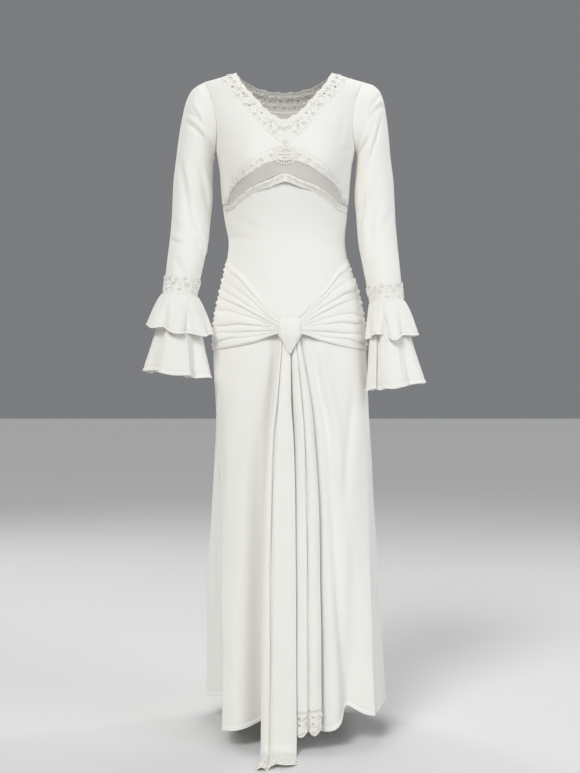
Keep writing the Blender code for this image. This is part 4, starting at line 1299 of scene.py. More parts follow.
def neck_lace_back():
    def place(u, v):
        inner = back_neck(u, BACK_NECK_LACE_DROP, NECK_LACE[0].across)
        outer = back_neck(u, BACK_NECK_CLOTH_DROP, NECK_CLOTH[0].across)
        scallop = BACK_NECK_SCALLOP * np.abs(np.sin(u * NECK_UNITS * math.pi)) * (1 - v)
        return body(mix(inner[0], outer[0], v), mix(inner[1], outer[1], v) + scallop * np.sin(u * math.pi))

    return surface(place)


def front_band(top, bottom, relief=None):
    """A piece across the whole front, between two lines: columns of the bands' table, or by turn."""
    def line(edge, turn):
        return band(turn, edge) if isinstance(edge, str) else edge(turn)

    def place(u, v):
        turn = math.pi * (u - 0.5)
        return body(turn, mix(line(top, turn), line(bottom, turn), v))

    return surface(place, relief)


def midriff():
    def relief(u, v):
        turn = math.pi * (u - 0.5)
        drop = mix(band(turn, "lace_bottom"), hip_seam(turn), v)
        return limp(MIDRIFF_CREASES, turn, drop, 9, seam_grooves(u, v, *MIDRIFF_SIZE))

    return front_band("lace_bottom", hip_seam, relief)


# The hem hangs higher behind the folded edges and where each side turns to the back,
# and lower at the left side seam
HEM_LIFTS = (Lift(46, 9, 13), Lift(66, 11, 15), Lift(85, 10, -16), Lift(110, 13, 24), Lift(-90, 15, 33))


def hem(turn):
    """Drop of the skirt's hem."""
    lifts = LIFTS + HEM_LIFTS
    return HEM_DROP - sum(lift.rise * bump(away(turn, lift.turn), lift.wide) for lift in lifts)


def skirt_folds(turn, drop):
    """How far the folds push the skirt out, in millimetres."""
    push = np.zeros(np.broadcast(turn, drop).shape)
    for fold in FOLDS:
        grown = np.clip((drop - fold.start) / (fold.full - fold.start), 0.0, 1.0) ** FOLD_GROWTH
        push += fold.deep * grown * bump(away(turn, fold.turn), fold.wide)
    return push


# The skirt's turned hem, which steps out under a groove, and the grooves of its seams
HEM_STEP, HEM_STEP_SOFT = 1.1, 0.8
HEM_GROOVE, HEM_GROOVE_ABOVE, HEM_GROOVE_WIDE = 0.7, 2.2, 1.8
SKIRT_SEAM, SIDE_SEAM_WIDE, HIP_SEAM_WIDE = 0.6, 3, 4
SKIRT_WIDE, SKIRT_LONG = 560, 800
SKIRT_SWELL = 2.6


def skirt_half(start, hip):
    """The front or back of the skirt, half way round the body from a starting turn."""
    def panel(u, v):
        turn = start + math.pi * u
        return turn, mix(hip(turn), hem(turn), v)

    def place(u, v):
        turn, drop = panel(u, v)
        push = skirt_folds(turn, drop)
        return body(turn, drop) + point(np.sin(turn) * push, -np.cos(turn) * push, 0.0)

    def relief(u, v):
        turn, drop = panel(u, v)
        turned = bpy.context.scene.dress_sizes.hem / MM
        across = np.degrees(turn)
        above = hem(turn) - turned - drop
        step = HEM_STEP * smooth(-above, -HEM_STEP_SOFT, HEM_STEP_SOFT)
        step = step - HEM_GROOVE * bump(above - HEM_GROOVE_ABOVE, HEM_GROOVE_WIDE)
        sides = bump(u * SKIRT_WIDE, SIDE_SEAM_WIDE) + bump((1 - u) * SKIRT_WIDE, SIDE_SEAM_WIDE)
        seams = SKIRT_SEAM * (np.minimum(1.0, sides) + bump(v * SKIRT_LONG, HIP_SEAM_WIDE))
        folds = creases(SKIRT_CREASES, across, drop, SKIRT_DEGREE)
        folds = folds + ledges(SKIRT_LEDGES, across, drop, HEM_DROP)
        return folds + softness(SKIRT_SWELL * across, drop, 13) + step - seams

    return surface(place, relief)


# A roll's crest lies below its middle, so that its cloth falls steeply into the trough under it
PLEAT_LEAN = 1.7
PLEAT_FULL = 1.25
KNOT_LINE_DEEP = 0.45
# The small gathers at the side seam, and how high the wrap's edges and its sewn side lie
SCALLOP_HIGH = 1.7
PUCKER_HIGH = 0.8
WRAP_EDGE_CLEAR = 1.1
WRAP_SEWN = -0.4


def pleats(table, u, v):
    """Relief of a hip wrap: soft rolls between troughs that run from the side seam to the knot."""
    total = np.zeros(np.broadcast(u, v).shape)
    run = smooth(u, -0.25, 1.1)
    for number, (upper, lower) in enumerate(zip(table, table[1:])):
        start, end = mix(upper.knot, upper.side, run), mix(lower.knot, lower.side, run)
        start = start + wander(u, number) * (number > 0)
        end = end + wander(u, number + 1) * (number + 2 < len(table))
        share = np.clip((v - start) / (end - start), 0.0, 1.0)
        uneven = 0.72 + 0.28 * np.sin(5.3 * u + 2.3 * number)
        gone = 1 - smooth(u, upper.gone - 0.45, upper.gone)
        roll = np.sqrt(np.maximum(0.0, 1 - (2 * share ** PLEAT_LEAN - 1) ** 2))
        roll -= KNOT_LINE_DEEP * bump(share - 0.55, 0.12) * (1 - smooth(u, 0.05, 0.3))
        total += PLEAT_FULL * upper.high * uneven * gone * roll * ((v > start) & (v <= end))
    return total


def wander(u, number):
    """How a trough strays from its straight way, as a share of the wrap's height."""
    slow, fast = np.sin(5.2 * u + 1.9 * number), np.sin(19 * u + 2.7 * number)
    return (0.014 * slow + 0.007 * fast) * np.sin(math.pi * np.clip(u, 0.0, 1.0))


def hip_wrap(side):
    """One side of the sash, gathered along the side seam and drawn together at the knot."""
    table = WRAP_PLEATS_LEFT if side > 0 else WRAP_PLEATS_RIGHT
    reach = max(row.half for row in KNOT) - WRAP_UNDER_KNOT
    knot_side = KNOT_ACROSS - float(read(BODY, KNOT_TOP, "shift")) + side * reach
    first = side * float(turn_at(knot_side, KNOT_TOP))

    def place(u, v):
        turn = mix(first, math.pi / 2, u)
        degrees = np.degrees(turn)
        drop = mix(read(WRAP_EDGES, degrees, "top"), read(WRAP_EDGES, degrees, "bottom"), v)
        return body(side * turn, drop)

    def relief(u, v):
        seam = smooth(u, 0.5, 0.97)
        fade = mix(0.55, 1.0, smooth(u, 0.0, 0.3)) * mix(1.0, 0.3, seam)
        edge = smooth(v, 0.0, 0.07) * smooth(1 - v, 0.0, 0.016)
        gathers = 2 * math.pi * SIDE_GATHERS * v
        scallop = SCALLOP_HIGH * np.cos(gathers + 0.9 * np.sin(9 * v)) * smooth(u, 0.72, 1.0)
        pucker = PUCKER_HIGH * np.cos(gathers / 2 + 7 * u) * smooth(u, 0.55, 0.85)
        into_knot = WRAP_AT_KNOT * (1 - smooth(u, 0.02, 0.2)) * smooth(v, -0.1, 0.25)
        sewn = smooth(1 - u, 0.0, 0.03)
        laid = mix(WRAP_EDGE_CLEAR, WRAP_CLEAR, edge) + (pleats(table, u, v) * fade + scallop + pucker) * edge
        return mix(WRAP_SEWN, laid, sewn) + into_knot

    return surface(place, relief, flip=side < 0)


def tail_path(way, clear, floor_run):
    """A place along a sash tail and the direction out of its face: down, round a bend, then forward."""
    hang = FLOOR_DROP - TAIL_BEND - TAIL_TOP
    fall = np.minimum(way, hang) if floor_run else way
    deep = -read(BODY, TAIL_TOP + fall, "front") - clear
    past = np.maximum(0.0, way - hang) if floor_run else np.zeros(np.shape(way))
    angle = np.minimum(math.pi / 2, past / TAIL_BEND)
    ahead = np.maximum(0.0, past - TAIL_BEND * math.pi / 2)
    lowest = -FLOOR_DROP + TAIL_RESTS
    high = np.where(past > 0, lowest + TAIL_BEND * (1 - np.sin(angle)), -TAIL_TOP - fall)
    deep = deep - TAIL_BEND * (1 - np.cos(angle)) - ahead
    zero = np.zeros(np.shape(way))
    return np.stack((zero, deep, high), -1), np.stack((zero, -np.cos(angle), np.sin(angle)), -1)


def tail_point(side, share, way):
    """A point of a sash tail, share of the way across and some way down, in metres."""
    edges, folds = (TAIL_LEFT, TAIL_LEFT_FOLDS) if side > 0 else (TAIL_RIGHT, TAIL_RIGHT_FOLDS)
    middle, out = tail_path(way, read(edges, way, "clear"), side < 0)
    across = mix(read(edges, way, "low"), read(edges, way, "high"), share)
    height = read(folds, share, "height") * mix(TAIL_FLAT_TOP, 1.0, smooth(way, 0, TAIL_FLAT_TO))
    return (middle + out * height[..., None]) * MM + point(across, 0.0, 0.0)


def tail_end(side, share):
    """Length of a tail's cloth, which is cut on the slant."""
    hang = FLOOR_DROP - TAIL_BEND - TAIL_TOP
    if side > 0:
        return TAIL_LEFT_LENGTH + TAIL_LEFT_SLANT * (0.5 - share)
    return hang + TAIL_BEND * math.pi / 2 + TAIL_FLOOR_RUN + TAIL_RIGHT_SLANT * (0.5 - share)


def sash_tail(side):
    def relief(u, v):
        wave = 0.5 * np.sin(6.5 * v * math.pi + 3 * u + side) + 0.3 * np.sin(15 * v + 8 * u)
        return wave * smooth(v, 0.02, 0.2) * smooth(1 - v, 0.0, 0.08)

    return surface(lambda u, v: tail_point(side, u, tail_end(side, u) * v), relief)


def tail_lace(side):
    """The lace at the end of a tail. Its length runs along the tail, and it ends in two points."""
    def place(u, v):
        long = TAIL_LACE * mix(TAIL_LACE_NOTCH, 1.0, np.abs(np.sin(2 * math.pi * u)))
        return tail_point(side, u, tail_end(side, u) + long * v)

    return surface(place)


def sleeve_point(side, angle, row):
    """A point of a sleeve. An angle of 0 is the outside of the arm, and 90 degrees its front."""
    angle, row = np.broadcast_arrays(np.asarray(angle, float), np.asarray(row, float))
    low = np.maximum(row, 1.0)
    longer = LEFT_ARM_LONGER * smooth(low, 8, 13) if side > 0 else 0.0
    outer_across, outer_high = read(SLEEVE, low, "outer_across"), -read(SLEEVE, low, "outer_drop") - longer
    inner_across, inner_high = read(SLEEVE, low, "inner_across"), -read(SLEEVE, low, "inner_drop") - longer
    across = (outer_across + inner_across) / 2 + (outer_across - inner_across) / 2 * np.cos(angle)
    high = (outer_high + inner_high) / 2 + (outer_high - inner_high) / 2 * np.cos(angle)
    deep = read(SLEEVE, low, "middle") - read(SLEEVE, low, "deep") * np.sin(angle)
    down = point(side * across + read(SLEEVE, low, "shift"), deep, high)
    share = np.abs(angle) / math.pi
    turn, drop = armhole(share)
    turn = side * np.where(angle >= 0, turn, math.pi - turn)
    start = body(turn, drop)
    outward = point(side * 1.0, 0.0, 0.0) * (UNDERARM_CLEAR * smooth(share, 0.55, 0.95))[..., None]
    return start + outward + (down - start - outward) * np.clip(row, 0.0, 1.0)[..., None]


def sleeve(side):
    """A sleeve, from the armhole to its end under the flounce."""
    table = SLEEVE_LEFT_CREASES if side > 0 else SLEEVE_RIGHT_CREASES

    def relief(u, v):
        degrees = 180 * (2 * u - 1)
        row = LAST_RING * v
        drop = (read(SLEEVE, row, "outer_drop") + read(SLEEVE, row, "inner_drop")) / 2
        folds = SLEEVE_FULL * creases(table, degrees, drop, SLEEVE_DEGREE) * smooth(row, 0.2, 1.2)
        seam = SLEEVE_SEAM * bump(v * SLEEVE_LONG, SLEEVE_SEAM_WIDE)
        return folds + softness(SLEEVE_SWELL * degrees, drop, 3 + side) - seam

    return surface(lambda u, v: sleeve_point(side, math.pi * (2 * u - 1), LAST_RING * v), relief,
                   flip=side > 0, closed=True)


def wrist_lace(side):
    """The lace band laid on the end of a sleeve."""
    def place(u, v):
        angle = math.pi * (2 * u - 1)
        low, high = sleeve_point(side, angle, LAST_RING), sleeve_point(side, angle, LAST_RING - 1)
        share = mix(CUFF_LACE_HIGH * MM / (high[..., 2] - low[..., 2]), CUFF_LACE_END, v)
        return low + (high - low) * share[..., None]

    return surface(place, lambda u, v: CUFF_LACE_OUT + 0.0 * u, flip=side > 0, closed=True)


def flounce(item):
    """A wrist flounce, from its seam on the sleeve's end down to its hem."""
    row = LAST_RING - max(0, item.seam_in) / (SLEEVE[-1].outer_drop - SLEEVE[-2].outer_drop)

    def place(u, v):
        angle = math.pi * (2 * u - 1)
        start = sleeve_point(item.side, angle, row)
        middle = (sleeve_point(item.side, 0.0, row) + sleeve_point(item.side, math.pi, row)) / 2
        away_out = start - middle
        away_out = away_out / np.linalg.norm(away_out, axis=-1, keepdims=True)
        start = start + away_out * (FLOUNCE_OUT if item.seam_in > 0 else 0.0) * MM
        start = start + point(0.0, 0.0, min(0, item.seam_in))
        out = sum(row.out * bump(away(angle, row.angle), row.wide) for row in item.waves)
        lower = sum(row.down * bump(away(angle, row.angle), row.wide) for row in item.waves)
        wave = 1 + out / item.half * smooth(v, 0, item.grown)
        end_drop = mix(item.outer_drop, item.inner_drop, (1 - np.cos(angle)) / 2) + lower
        end = point(item.side * (item.across + item.half * wave * np.cos(angle)),
                    WRIST_MIDDLE - item.deep * wave * np.sin(angle), -end_drop)
        spread = v ** item.flare
        return np.stack((mix(start[..., 0], end[..., 0], spread), mix(start[..., 1], end[..., 1], spread),
                         mix(start[..., 2], end[..., 2], v)), axis=-1)

    def relief(u, v):
        angle = 2 * math.pi * u
        gathers = bpy.context.scene.dress_sizes.gathers
        small = GATHER_HIGH * np.cos(gathers * angle + 1.3 * np.sin(3 * angle)) * smooth(v, 0.0, 0.05)
        long = GATHER_HIGH * np.cos(gathers / 2 * angle + 2.0 * np.sin(2 * angle + item.half))
        dip = -FLOUNCE_DIP * bump((1 - v) * FLOUNCE_TALL - FLOUNCE_DIP_ABOVE, FLOUNCE_DIP_WIDE)
        folds = ledges(item.edges, np.degrees(angle) - 180, v, 1.0)
        long = long * smooth(v, 0.1, 0.3) * (1 - smooth(v, 0.5, 0.95))
        return small * (1 - smooth(v, 0.05, 0.5)) + long + dip + folds

    return surface(place, relief, flip=item.side > 0, closed=True)


# How many millimetres one degree is, round the skirt and round a sleeve
SKIRT_DEGREE = 2.9
SLEEVE_DEGREE = 0.72
SLEEVE_FULL = 1.5
SLEEVE_SWELL = 0.7
SLEEVE_SEAM = 0.6
SLEEVE_SEAM_WIDE = 4
SLEEVE_LONG = 470
SKIRT_CREASES = rows_of(
    Crease,
    (50, 660, 29, 1030, 12, 3.6, -8), (-10, 585, -17.5, 800, 9, 8.5, 3),
    (-16.5, 720, -19.5, 1180, 8, 7.5, 2), (17.5, 585, 27, 780, 9, 7.0, -3),
    (25.5, 700, 30, 1300, 9, 7.5, -2), (-30, 610, -44, 900, 10, 1.0, 6),
    (-66, 620, -52, 930, 11, 1.1, 7), (70, 620, 62, 980, 12, 1.1, -6), (30, 620, 33, 760, 9, 0.9, 3),
    (84, 650, 88, 1210, 12, 3.2, 6), (-86, 640, -80, 1180, 12, 3.2, -5),
    (101, 760, 106, 1320, 14, 3.6, 5), (114, 600, 126, 980, 14, 4.4, 8),
    (133, 760, 138, 1300, 14, 3.4, -5), (152, 610, 164, 1040, 15, 4.4, -8),
    (178, 650, 172, 1160, 14, 3.6, 6), (186, 900, 190, 1340, 13, 3.6, -4),
    (214, 600, 204, 1010, 14, 4.6, -7), (227, 740, 228, 1300, 14, 3.4, 5),
    (242, 620, 234, 960, 13, 3.8, 6), (258, 700, 254, 1260, 12, 3.2, -4))
SKIRT_LEDGES = rows_of(
    Ledge,
    (-72, -44.5, 1, 640, 900, 1.8, 22, 6, 16), (75, 48, -1, 680, 980, 1.6, 14, 6, 11),
    (-140, -136, 1, 700, 1100, 1.4, 6, 5, 7), (146, 150, -1, 760, 1150, 1.4, 6, 5, 7))

KNOT_SEGMENTS = 112
KNOT_RINGS = 76
KNOT_PLEATS = 2.6
KNOT_PLEAT_DEEP = 0.7
KNOT_FULL = 4.5
KNOT_FLAT = 0.62


def knot_mesh():
    """The folded knot: flat behind, full in front with soft upright pleats, drawn to a point below."""
    work = bmesh.new()
    bmesh.ops.create_uvsphere(work, u_segments=KNOT_SEGMENTS, v_segments=KNOT_RINGS, radius=1.0)
    mesh = plain_mesh("sash_knot_cloth", work)
    places = np.empty(len(mesh.vertices) * 3)
    mesh.vertices.foreach_get("co", places)
    across, forward, high = places.reshape(-1, 3).T
    drop = mix(KNOT_TOP, KNOT_BOTTOM, (1 - high) / 2)
    full = np.sqrt(np.maximum(0.0, 1 - high ** 2))
    swell = np.where(full > 0.01, np.maximum(full, 0.01) ** -KNOT_SQUARE, 0.0)
    thick = np.maximum(1.0, read(KNOT, drop, "front") - read(KNOT, drop, "base"))
    ahead = np.clip(np.maximum(0.0, -forward) * swell, 0.0, 1.0) ** KNOT_FLAT
    pleat = np.cos(math.pi * KNOT_PLEATS * across * swell + 0.7 + 0.5 * high)
    pleat = KNOT_PLEAT_DEEP * pleat * np.clip(ahead, 0.0, 1.0) * smooth(full, 0.1, 0.7)
    deep = read(BODY, drop, "front") + read(KNOT, drop, "base") + thick * ahead + pleat
    half = read(KNOT, drop, "half") + KNOT_FULL * smooth(KNOT_BOTTOM - drop, 0, 45)
    aside = KNOT_ACROSS + half * across * swell
    mesh.vertices.foreach_set("co", point(aside, -deep, -drop).reshape(-1))
    mesh.update()
    return mesh


def side_line(at, along, lift, count):
    """A line down a surface at a share of its width."""
    return at(np.full(count + 1, along), shares(count), lift), False


# How the sheer crescent sags between its edges
SHEER_SAG, SHEER_UNEVEN = 0.8, 0.25
# The lower lace under the bust: a rolled ridge at each side, and a full, ruffled middle
ARCH_RIDGE, ARCH_WAVY, ARCH_FULL, ARCH_RUFFLE = 2.9, 0.9, 6.4, 1.6
ARCH_WAVES = 46
# The oval hollow of the medallion at the centre of the upper lace
HOLLOW = Eyelet(0.5, 0.56, 0.041, 0.47)
SPRIGS = 14
SPRIG_LEAVES = (-25, 25)
ROLL_SHARE = 0.42
STITCH_ABOVE = 0.1


def sheer_relief(u, v):
    """The mesh is drawn in between its edges, with a faint unevenness."""
    return -SHEER_SAG * np.sin(math.pi * v) + SHEER_UNEVEN * np.sin(19 * u + 2 * v)


def low_arch_relief(u, v):
    """The lower lace rolls out at the sides and stands full and ruffled in the middle."""
    centre = bump(u - 0.505, 0.085)
    side = smooth(np.abs(u - 0.5), 0.47, 0.33)
    wavy = np.sin(math.pi * ARCH_WAVES * u + 2 * np.sin(11 * u))
    ridge = (ARCH_RIDGE + ARCH_WAVY * wavy) * side * bump(v - 0.24 - 0.07 * wavy, 0.26)
    ruffle = ARCH_RUFFLE * centre * wavy * smooth(v, 0.2, 1.0)
    full = ARCH_FULL * centre * np.sin(math.pi * (0.02 + 0.62 * v))
    return ridge + full + ruffle - 0.35 * smooth(v, 0.8, 1.0)


def high_arch_relief(u, v):
    """The upper lace lies a little full, and flat at its ends."""
    return (0.5 * np.sin(math.pi * v) + 0.3) * smooth(np.abs(u - 0.5), 0.5, 0.34)


def skirt_front():
    return skirt_half(-math.pi / 2, hip_seam)


def skirt_back():
    return skirt_half(math.pi / 2, lambda turn: HIP_SEAM_SIDE + 0.0 * turn)


class DRESS_OT_bodice(bpy.types.Operator):
    """Make the bodice: the two cups of the V neck, the back and the smooth midriff"""
    bl_idname = "dress.bodice"
    bl_label = "Bodice and midriff"

    def execute(self, context):
        for side, word in SIDES:
            add_cloth("bodice_front_" + word, bodice_front(side), shares(64), shares(104))
        add_cloth("bodice_back", bodice_back(), shares(96), shares(112))
        add_cloth("midriff_front", midriff(), shares(116), shares(80))
        return {"FINISHED"}


class DRESS_OT_sheer(bpy.types.Operator):
    """Make the sheer crescent under the bust"""
    bl_idname = "dress.sheer"
    bl_label = "Sheer crescent"

    def execute(self, context):
        at = front_band("sheer_top", "sheer_bottom", sheer_relief)
        add_cloth("underbust_sheer", at, shares(150), shares(14),
                  material="sheer mesh", wall=context.scene.dress_sizes.sheer)
        return {"FINISHED"}


class DRESS_OT_neck_lace(bpy.types.Operator):
    """Make the scalloped lace inside the V neck and round the back of it"""
    bl_idname = "dress.neck_lace"
    bl_label = "Neck lace"

    def execute(self, context):
        size = context.scene.dress_sizes.flower / MM
        eyelets = [Eyelet((row + 0.5) / NECK_ROWS, (column + 0.5) / NECK_COLUMNS, *NECK_EYELET)
                   for column in (1, 2) for row in range(2 * column - 1, NECK_ROWS - 1, 4)]
        for side, word in SIDES:
            centre = [Motif(1.0, across, size, 20) for across in (0.3, 0.78)] if side > 0 else []
            add_lace("neck_lace_" + word, neck_lace(side), long=240, wide=42, repeats=8, flower=size * 1.15,
                     rows=(0.34, 0.72), eyelets=eyelets,
                     inner_cords=(0.12, 0.9), extra=(centre, ()))
        eyelets = [Eyelet((number + 0.5) / BACK_NECK_ROWS, 0.5, *BACK_EYELET)
                   for number in range(1, BACK_NECK_ROWS - 1)]
        add_lace("neck_lace_back", neck_lace_back(), long=260, wide=32, repeats=12, flower=size * 0.9,
                 rows=(0.27, 0.73), eyelets=eyelets, inner_cords=(0.14, 0.88),
                 inside=True)
        return {"FINISHED"}


class DRESS_OT_arch_lace(bpy.types.Operator):
    """Make the two lace bands that edge the sheer crescent"""
    bl_idname = "dress.arch_lace"
    bl_label = "Under-bust lace"

    def execute(self, context):
        size = context.scene.dress_sizes.flower / MM
        flowers, leaves = border(0.13, 0.87, 33, 0.9, size * 0.85, 0.06)
        petals = medallion(HOLLOW, petals=26, size=8.5, long=446, wide=26)
        add_lace("arch_lace_upper", front_band("lace_top", "sheer_top", high_arch_relief), long=400, wide=20,
                 repeats=18, flower=size * 0.95, rows=(0.42,),
                 worked=(0.1, 0.9), cord_edges=(0.0,),
                 extra=(flowers, leaves + petals), rings=(HOLLOW,),
                 eyelets=openwork(HOLLOW, columns=7, rows=3, half_along=0.0046, half_across=0.078), cell=1.2)
        add_lace("arch_lace_lower", front_band("sheer_bottom", "lace_bottom", low_arch_relief), long=400,
                 wide=15, repeats=30, flower=size * 0.62, rows=(0.3,),
                 worked=(0.12, 0.88), picot=2.6, cord_edges=(0.06,), cell=1.5, ground="lace thread")
        return {"FINISHED"}


class DRESS_OT_sleeves(bpy.types.Operator):
    """Make the long narrow sleeves and the lace band on the end of each"""
    bl_idname = "dress.sleeves"
    bl_label = "Sleeves"

    def execute(self, context):
        size = context.scene.dress_sizes.flower / MM
        sprigs = [Motif(step / SPRIGS, -0.1 - 0.16 * (step % 2), size * 0.75, 60 * step)
                  for step in range(SPRIGS)]
        leaves = [Motif(sprig.along, sprig.across, size * 0.95, 90 + turn)
                  for sprig in sprigs for turn in SPRIG_LEAVES]
        for side, word in SIDES:
            halves = ["sleeve_front_" + word, "sleeve_back_" + word]
            add_cloth("sleeve_" + word, sleeve(side), shares(88), shares(138),
                      nodes=halves)
            add_lace("wrist_lace_" + word, wrist_lace(side), long=220, wide=30, repeats=8, flower=size * 1.15,
                     rows=(0.22, 0.62), inner_cords=(0.1,), extra=(sprigs, leaves))
        return {"FINISHED"}


class DRESS_OT_flounces(bpy.types.Operator):
    """Make the two tiers of flounce on each wrist, with their rolled hems"""
    bl_idname = "dress.flounces"
    bl_label = "Wrist flounces"

    def execute(self, context):
        for item in FLOUNCES:
            name, at = "flounce_" + item.name, flounce(item)
            roll = cords([edge_line(at, 1.0, 0.0, 260)], context.scene.dress_sizes.rolled_hem * ROLL_SHARE,
                         "white jersey", 8)
            trim = add_piece(name + "_roll", roll, [])
            add_cloth(name, at, closer(156, item.edges, -180, 360), crowded(27, 0.93, 0.94, 10))
        return {"FINISHED"}


class DRESS_OT_skirt(bpy.types.Operator):
    """Make the front and back of the long skirt, with a turned hem"""
    bl_idname = "dress.skirt"
    bl_label = "Skirt"

    def execute(self, context):
        for name, at, start in (("skirt_front", skirt_front(), -90), ("skirt_back", skirt_back(), 90)):
            radius = context.scene.dress_sizes.hem_edge
            fold = cords([edge_line(at, 1.0, 0.0, 360)], radius, "white jersey", 8)
            edge = add_piece(name + "_edge", fold, [])
            add_cloth(name, at, closer(124, SKIRT_LEDGES, start, 180), crowded(106, 0.985, 0.987, 9))
        return {"FINISHED"}


class DRESS_OT_sash(bpy.types.Operator):
    """Make the hip sash: the ruched wraps, the knot and the two tails with lace ends"""
    bl_idname = "dress.sash"
    bl_label = "Sash, knot and tails"

    def execute(self, context):
        size = context.scene.dress_sizes.flower / MM
        eyelets = [Eyelet((column + 0.5) / 8, (row + 0.5) / 7, *TAIL_EYELET)
                   for column in (1, 3, 5) for row in (1, 3)]
        for side, word in SIDES:
            add_cloth("hip_wrap_" + word, hip_wrap(side), crowded(76, 0.955, 0.965, 8), shares(150))
            add_cloth("sash_tail_" + word, sash_tail(side), shares(60), shares(110))
            add_lace("tail_lace_" + word, tail_lace(side), long=60, wide=46, repeats=5, flower=size,
                     rows=(0.24, 0.58, 0.86), picot_edges=(1.0,),
                     eyelets=eyelets)
        knot = add_piece("sash_knot_cloth", knot_mesh(), ["white jersey"])
        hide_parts("sash_knot")
        return {"FINISHED"}


class DRESS_OT_stitching(bpy.types.Operator):
    """Sew the rows of stitches that show: neck, hems and lace edges"""
    bl_idname = "dress.stitching"
    bl_label = "Stitching"

    def execute(self, context):
        above = context.scene.dress_sizes.cloth / MM / 2 + STITCH_ABOVE
        for side, word in SIDES:
            front = bodice_front(side)
            add_stitches("bodice_stitches_" + word,
                         [side_line(front, 0.022, above, 160), edge_line(front, 0.988, above, 120)])
        add_stitches("midriff_stitches", [edge_line(midriff(), 0.012, above, 260)])
        for name, at in (("front", skirt_front()), ("back", skirt_back())):
            add_stitches("hem_stitches_" + name, [edge_line(at, 0.99, above, 420)])
        for item in FLOUNCES:
            add_stitches("flounce_" + item.name + "_stitches", [edge_line(flounce(item), 0.955, above, 320)])
        return {"FINISHED"}


CAMERA_SPOT = (0.014, -2.40, -0.70)
CAMERA_TARGET = (0.014, 0.0, -0.6707)
CAMERA_VIEW = 38.36
SENSOR = 24.0

# Soft studio lights: place and aim in metres, width, strength in watts and a warm or cool tint
Light = namedtuple("Light", "name place aim wide power tint")
LIGHTS = (
    Light("front", (-0.5, -2.4, 1.1), (0.0, 0.0, -0.2), 1.2, 16, "#FFFFFF"),
    Light("fill", (2.8, -2.0, 0.3), (0.0, 0.0, -0.6), 2.0, 30, "#F0F5FF"),
    Light("top", (0.3, 0.9, 2.2), (0.0, 0.0, -0.4), 1.6, 22, "#FFFFFF"),
    Light("behind left", (-2.3, 2.7, 1.2), (0.0, 0.0, -0.7), 1.2, 30, "#FFFFFF"),
    Light("behind right", (3.1, 1.6, 0.9), (0.0, 0.0, -0.7), 1.0, 24, "#FFFFFF"),
)
KEY_PLACE = (-1.4, -3.0, 2.2)
KEY_STRENGTH = 1.3
KEY_SOFT = 22.0
AIR_STRENGTH = 0.5


FLOOR_HALF = 40.0


def floor_material():
    """Painted studio floor: pale, matt and faintly uneven in gloss."""
    material, tree, shader = new_material("painted floor", bpy.context.scene.dress_colours.floor, 0.85)
    spread = add_node(tree, "ShaderNodeMapRange",
                      inputs={"Value": noise(tree, 1.3), "To Min": 0.76, "To Max": 0.9})
    tree.links.new(spread.outputs["Result"], shader.inputs["Roughness"])
    return material


def add_floor():
    """The flat floor, which the pieces' checks leave out."""
    corners = [(x * FLOOR_HALF, y * FLOOR_HALF, -FLOOR_DROP * MM)
               for x, y in ((-1, -1), (1, -1), (1, 1), (-1, 1))]
    mesh = bpy.data.meshes.new("floor")
    mesh.from_pydata(corners, [], [(0, 1, 2, 3)])
    mesh.materials.append(floor_material())
    floor = bpy.data.objects.new("floor", mesh)
    bpy.context.scene.collection.objects.link(floor)


def place_thing(name, data, place, target):
    """Puts a light or camera at a place, turned to look at its target."""
    thing = bpy.data.objects.new(name, data)
    bpy.context.scene.collection.objects.link(thing)
    thing.location = place
    thing.rotation_euler = (Vector(target) - Vector(place)).to_track_quat("-Z", "Y").to_euler()
    return thing


def add_lights():
    for row in LIGHTS:
        lamp = bpy.data.lights.new(row.name, "AREA")
        lamp.shape = "DISK"
        lamp.size = row.wide
        lamp.energy = row.power
        lamp.color = linear(row.tint)[:3]
        place_thing(row.name, lamp, row.place, row.aim)
    key = bpy.data.lights.new("key", "SUN")
    key.energy = KEY_STRENGTH
    key.angle = math.radians(KEY_SOFT)
    place_thing("key", key, KEY_PLACE, CAMERA_TARGET)


def add_camera():
    camera = bpy.data.cameras.new("camera")
    camera.sensor_fit = "VERTICAL"
    camera.sensor_height = SENSOR
    camera.lens = SENSOR / 2 / math.tan(math.radians(CAMERA_VIEW) / 2)
    return place_thing("camera", camera, CAMERA_SPOT, CAMERA_TARGET)


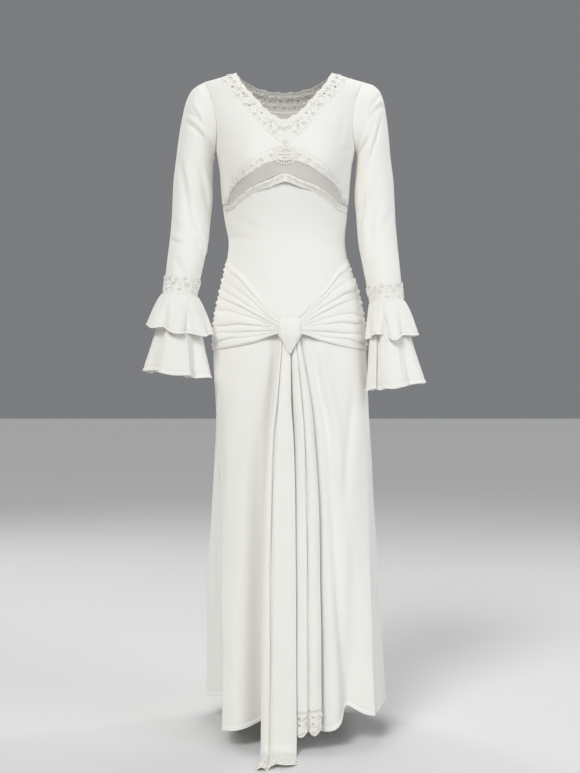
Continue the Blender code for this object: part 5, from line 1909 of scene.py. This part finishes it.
class DRESS_OT_stage(bpy.types.Operator):
    """Make the pale floor, the soft lights, the surroundings and the camera"""
    bl_idname = "dress.stage"
    bl_label = "Floor, lights and camera"

    def execute(self, context):
        scene = context.scene
        add_floor()
        add_lights()
        scene.world = scene.world or bpy.data.worlds.new("studio")
        scene.world.use_nodes = True
        air = scene.world.node_tree.nodes["Background"]
        air.inputs["Color"].default_value = scene.dress_colours.air
        air.inputs["Strength"].default_value = AIR_STRENGTH
        scene.view_settings.view_transform = "Standard"
        scene.camera = add_camera()
        return {"FINISHED"}


class DRESS_PT_panel(bpy.types.Panel):
    """Lists the pieces of the dress"""
    bl_idname = "DRESS_PT_panel"
    bl_label = "Maxi dress"
    bl_space_type = "VIEW_3D"
    bl_region_type = "UI"
    bl_category = "Dress"

    def draw(self, context):
        for group in (context.scene.dress_sizes, context.scene.dress_colours):
            for name in group.__annotations__:
                self.layout.prop(group, name)
        for operator in OPERATORS:
            self.layout.operator(operator.bl_idname)


OPERATORS = (DRESS_OT_bodice, DRESS_OT_sheer, DRESS_OT_neck_lace, DRESS_OT_arch_lace, DRESS_OT_sleeves,
             DRESS_OT_flounces, DRESS_OT_skirt, DRESS_OT_sash, DRESS_OT_stitching, DRESS_OT_stage)
CLASSES = (DressSizes, DressColours, *OPERATORS, DRESS_PT_panel)


def register():
    for kind in CLASSES:
        bpy.utils.register_class(kind)
    bpy.types.Scene.dress_sizes = PointerProperty(type=DressSizes)
    bpy.types.Scene.dress_colours = PointerProperty(type=DressColours)


def unregister():
    del bpy.types.Scene.dress_colours
    del bpy.types.Scene.dress_sizes
    for kind in reversed(CLASSES):
        bpy.utils.unregister_class(kind)


def main():
    register()
    bpy.ops.dress.bodice()
    bpy.ops.dress.sheer()
    bpy.ops.dress.neck_lace()
    bpy.ops.dress.arch_lace()
    bpy.ops.dress.sleeves()
    bpy.ops.dress.flounces()
    bpy.ops.dress.skirt()
    bpy.ops.dress.sash()
    bpy.ops.dress.stitching()
    bpy.ops.dress.stage()


if __name__ == "__main__":
    main()
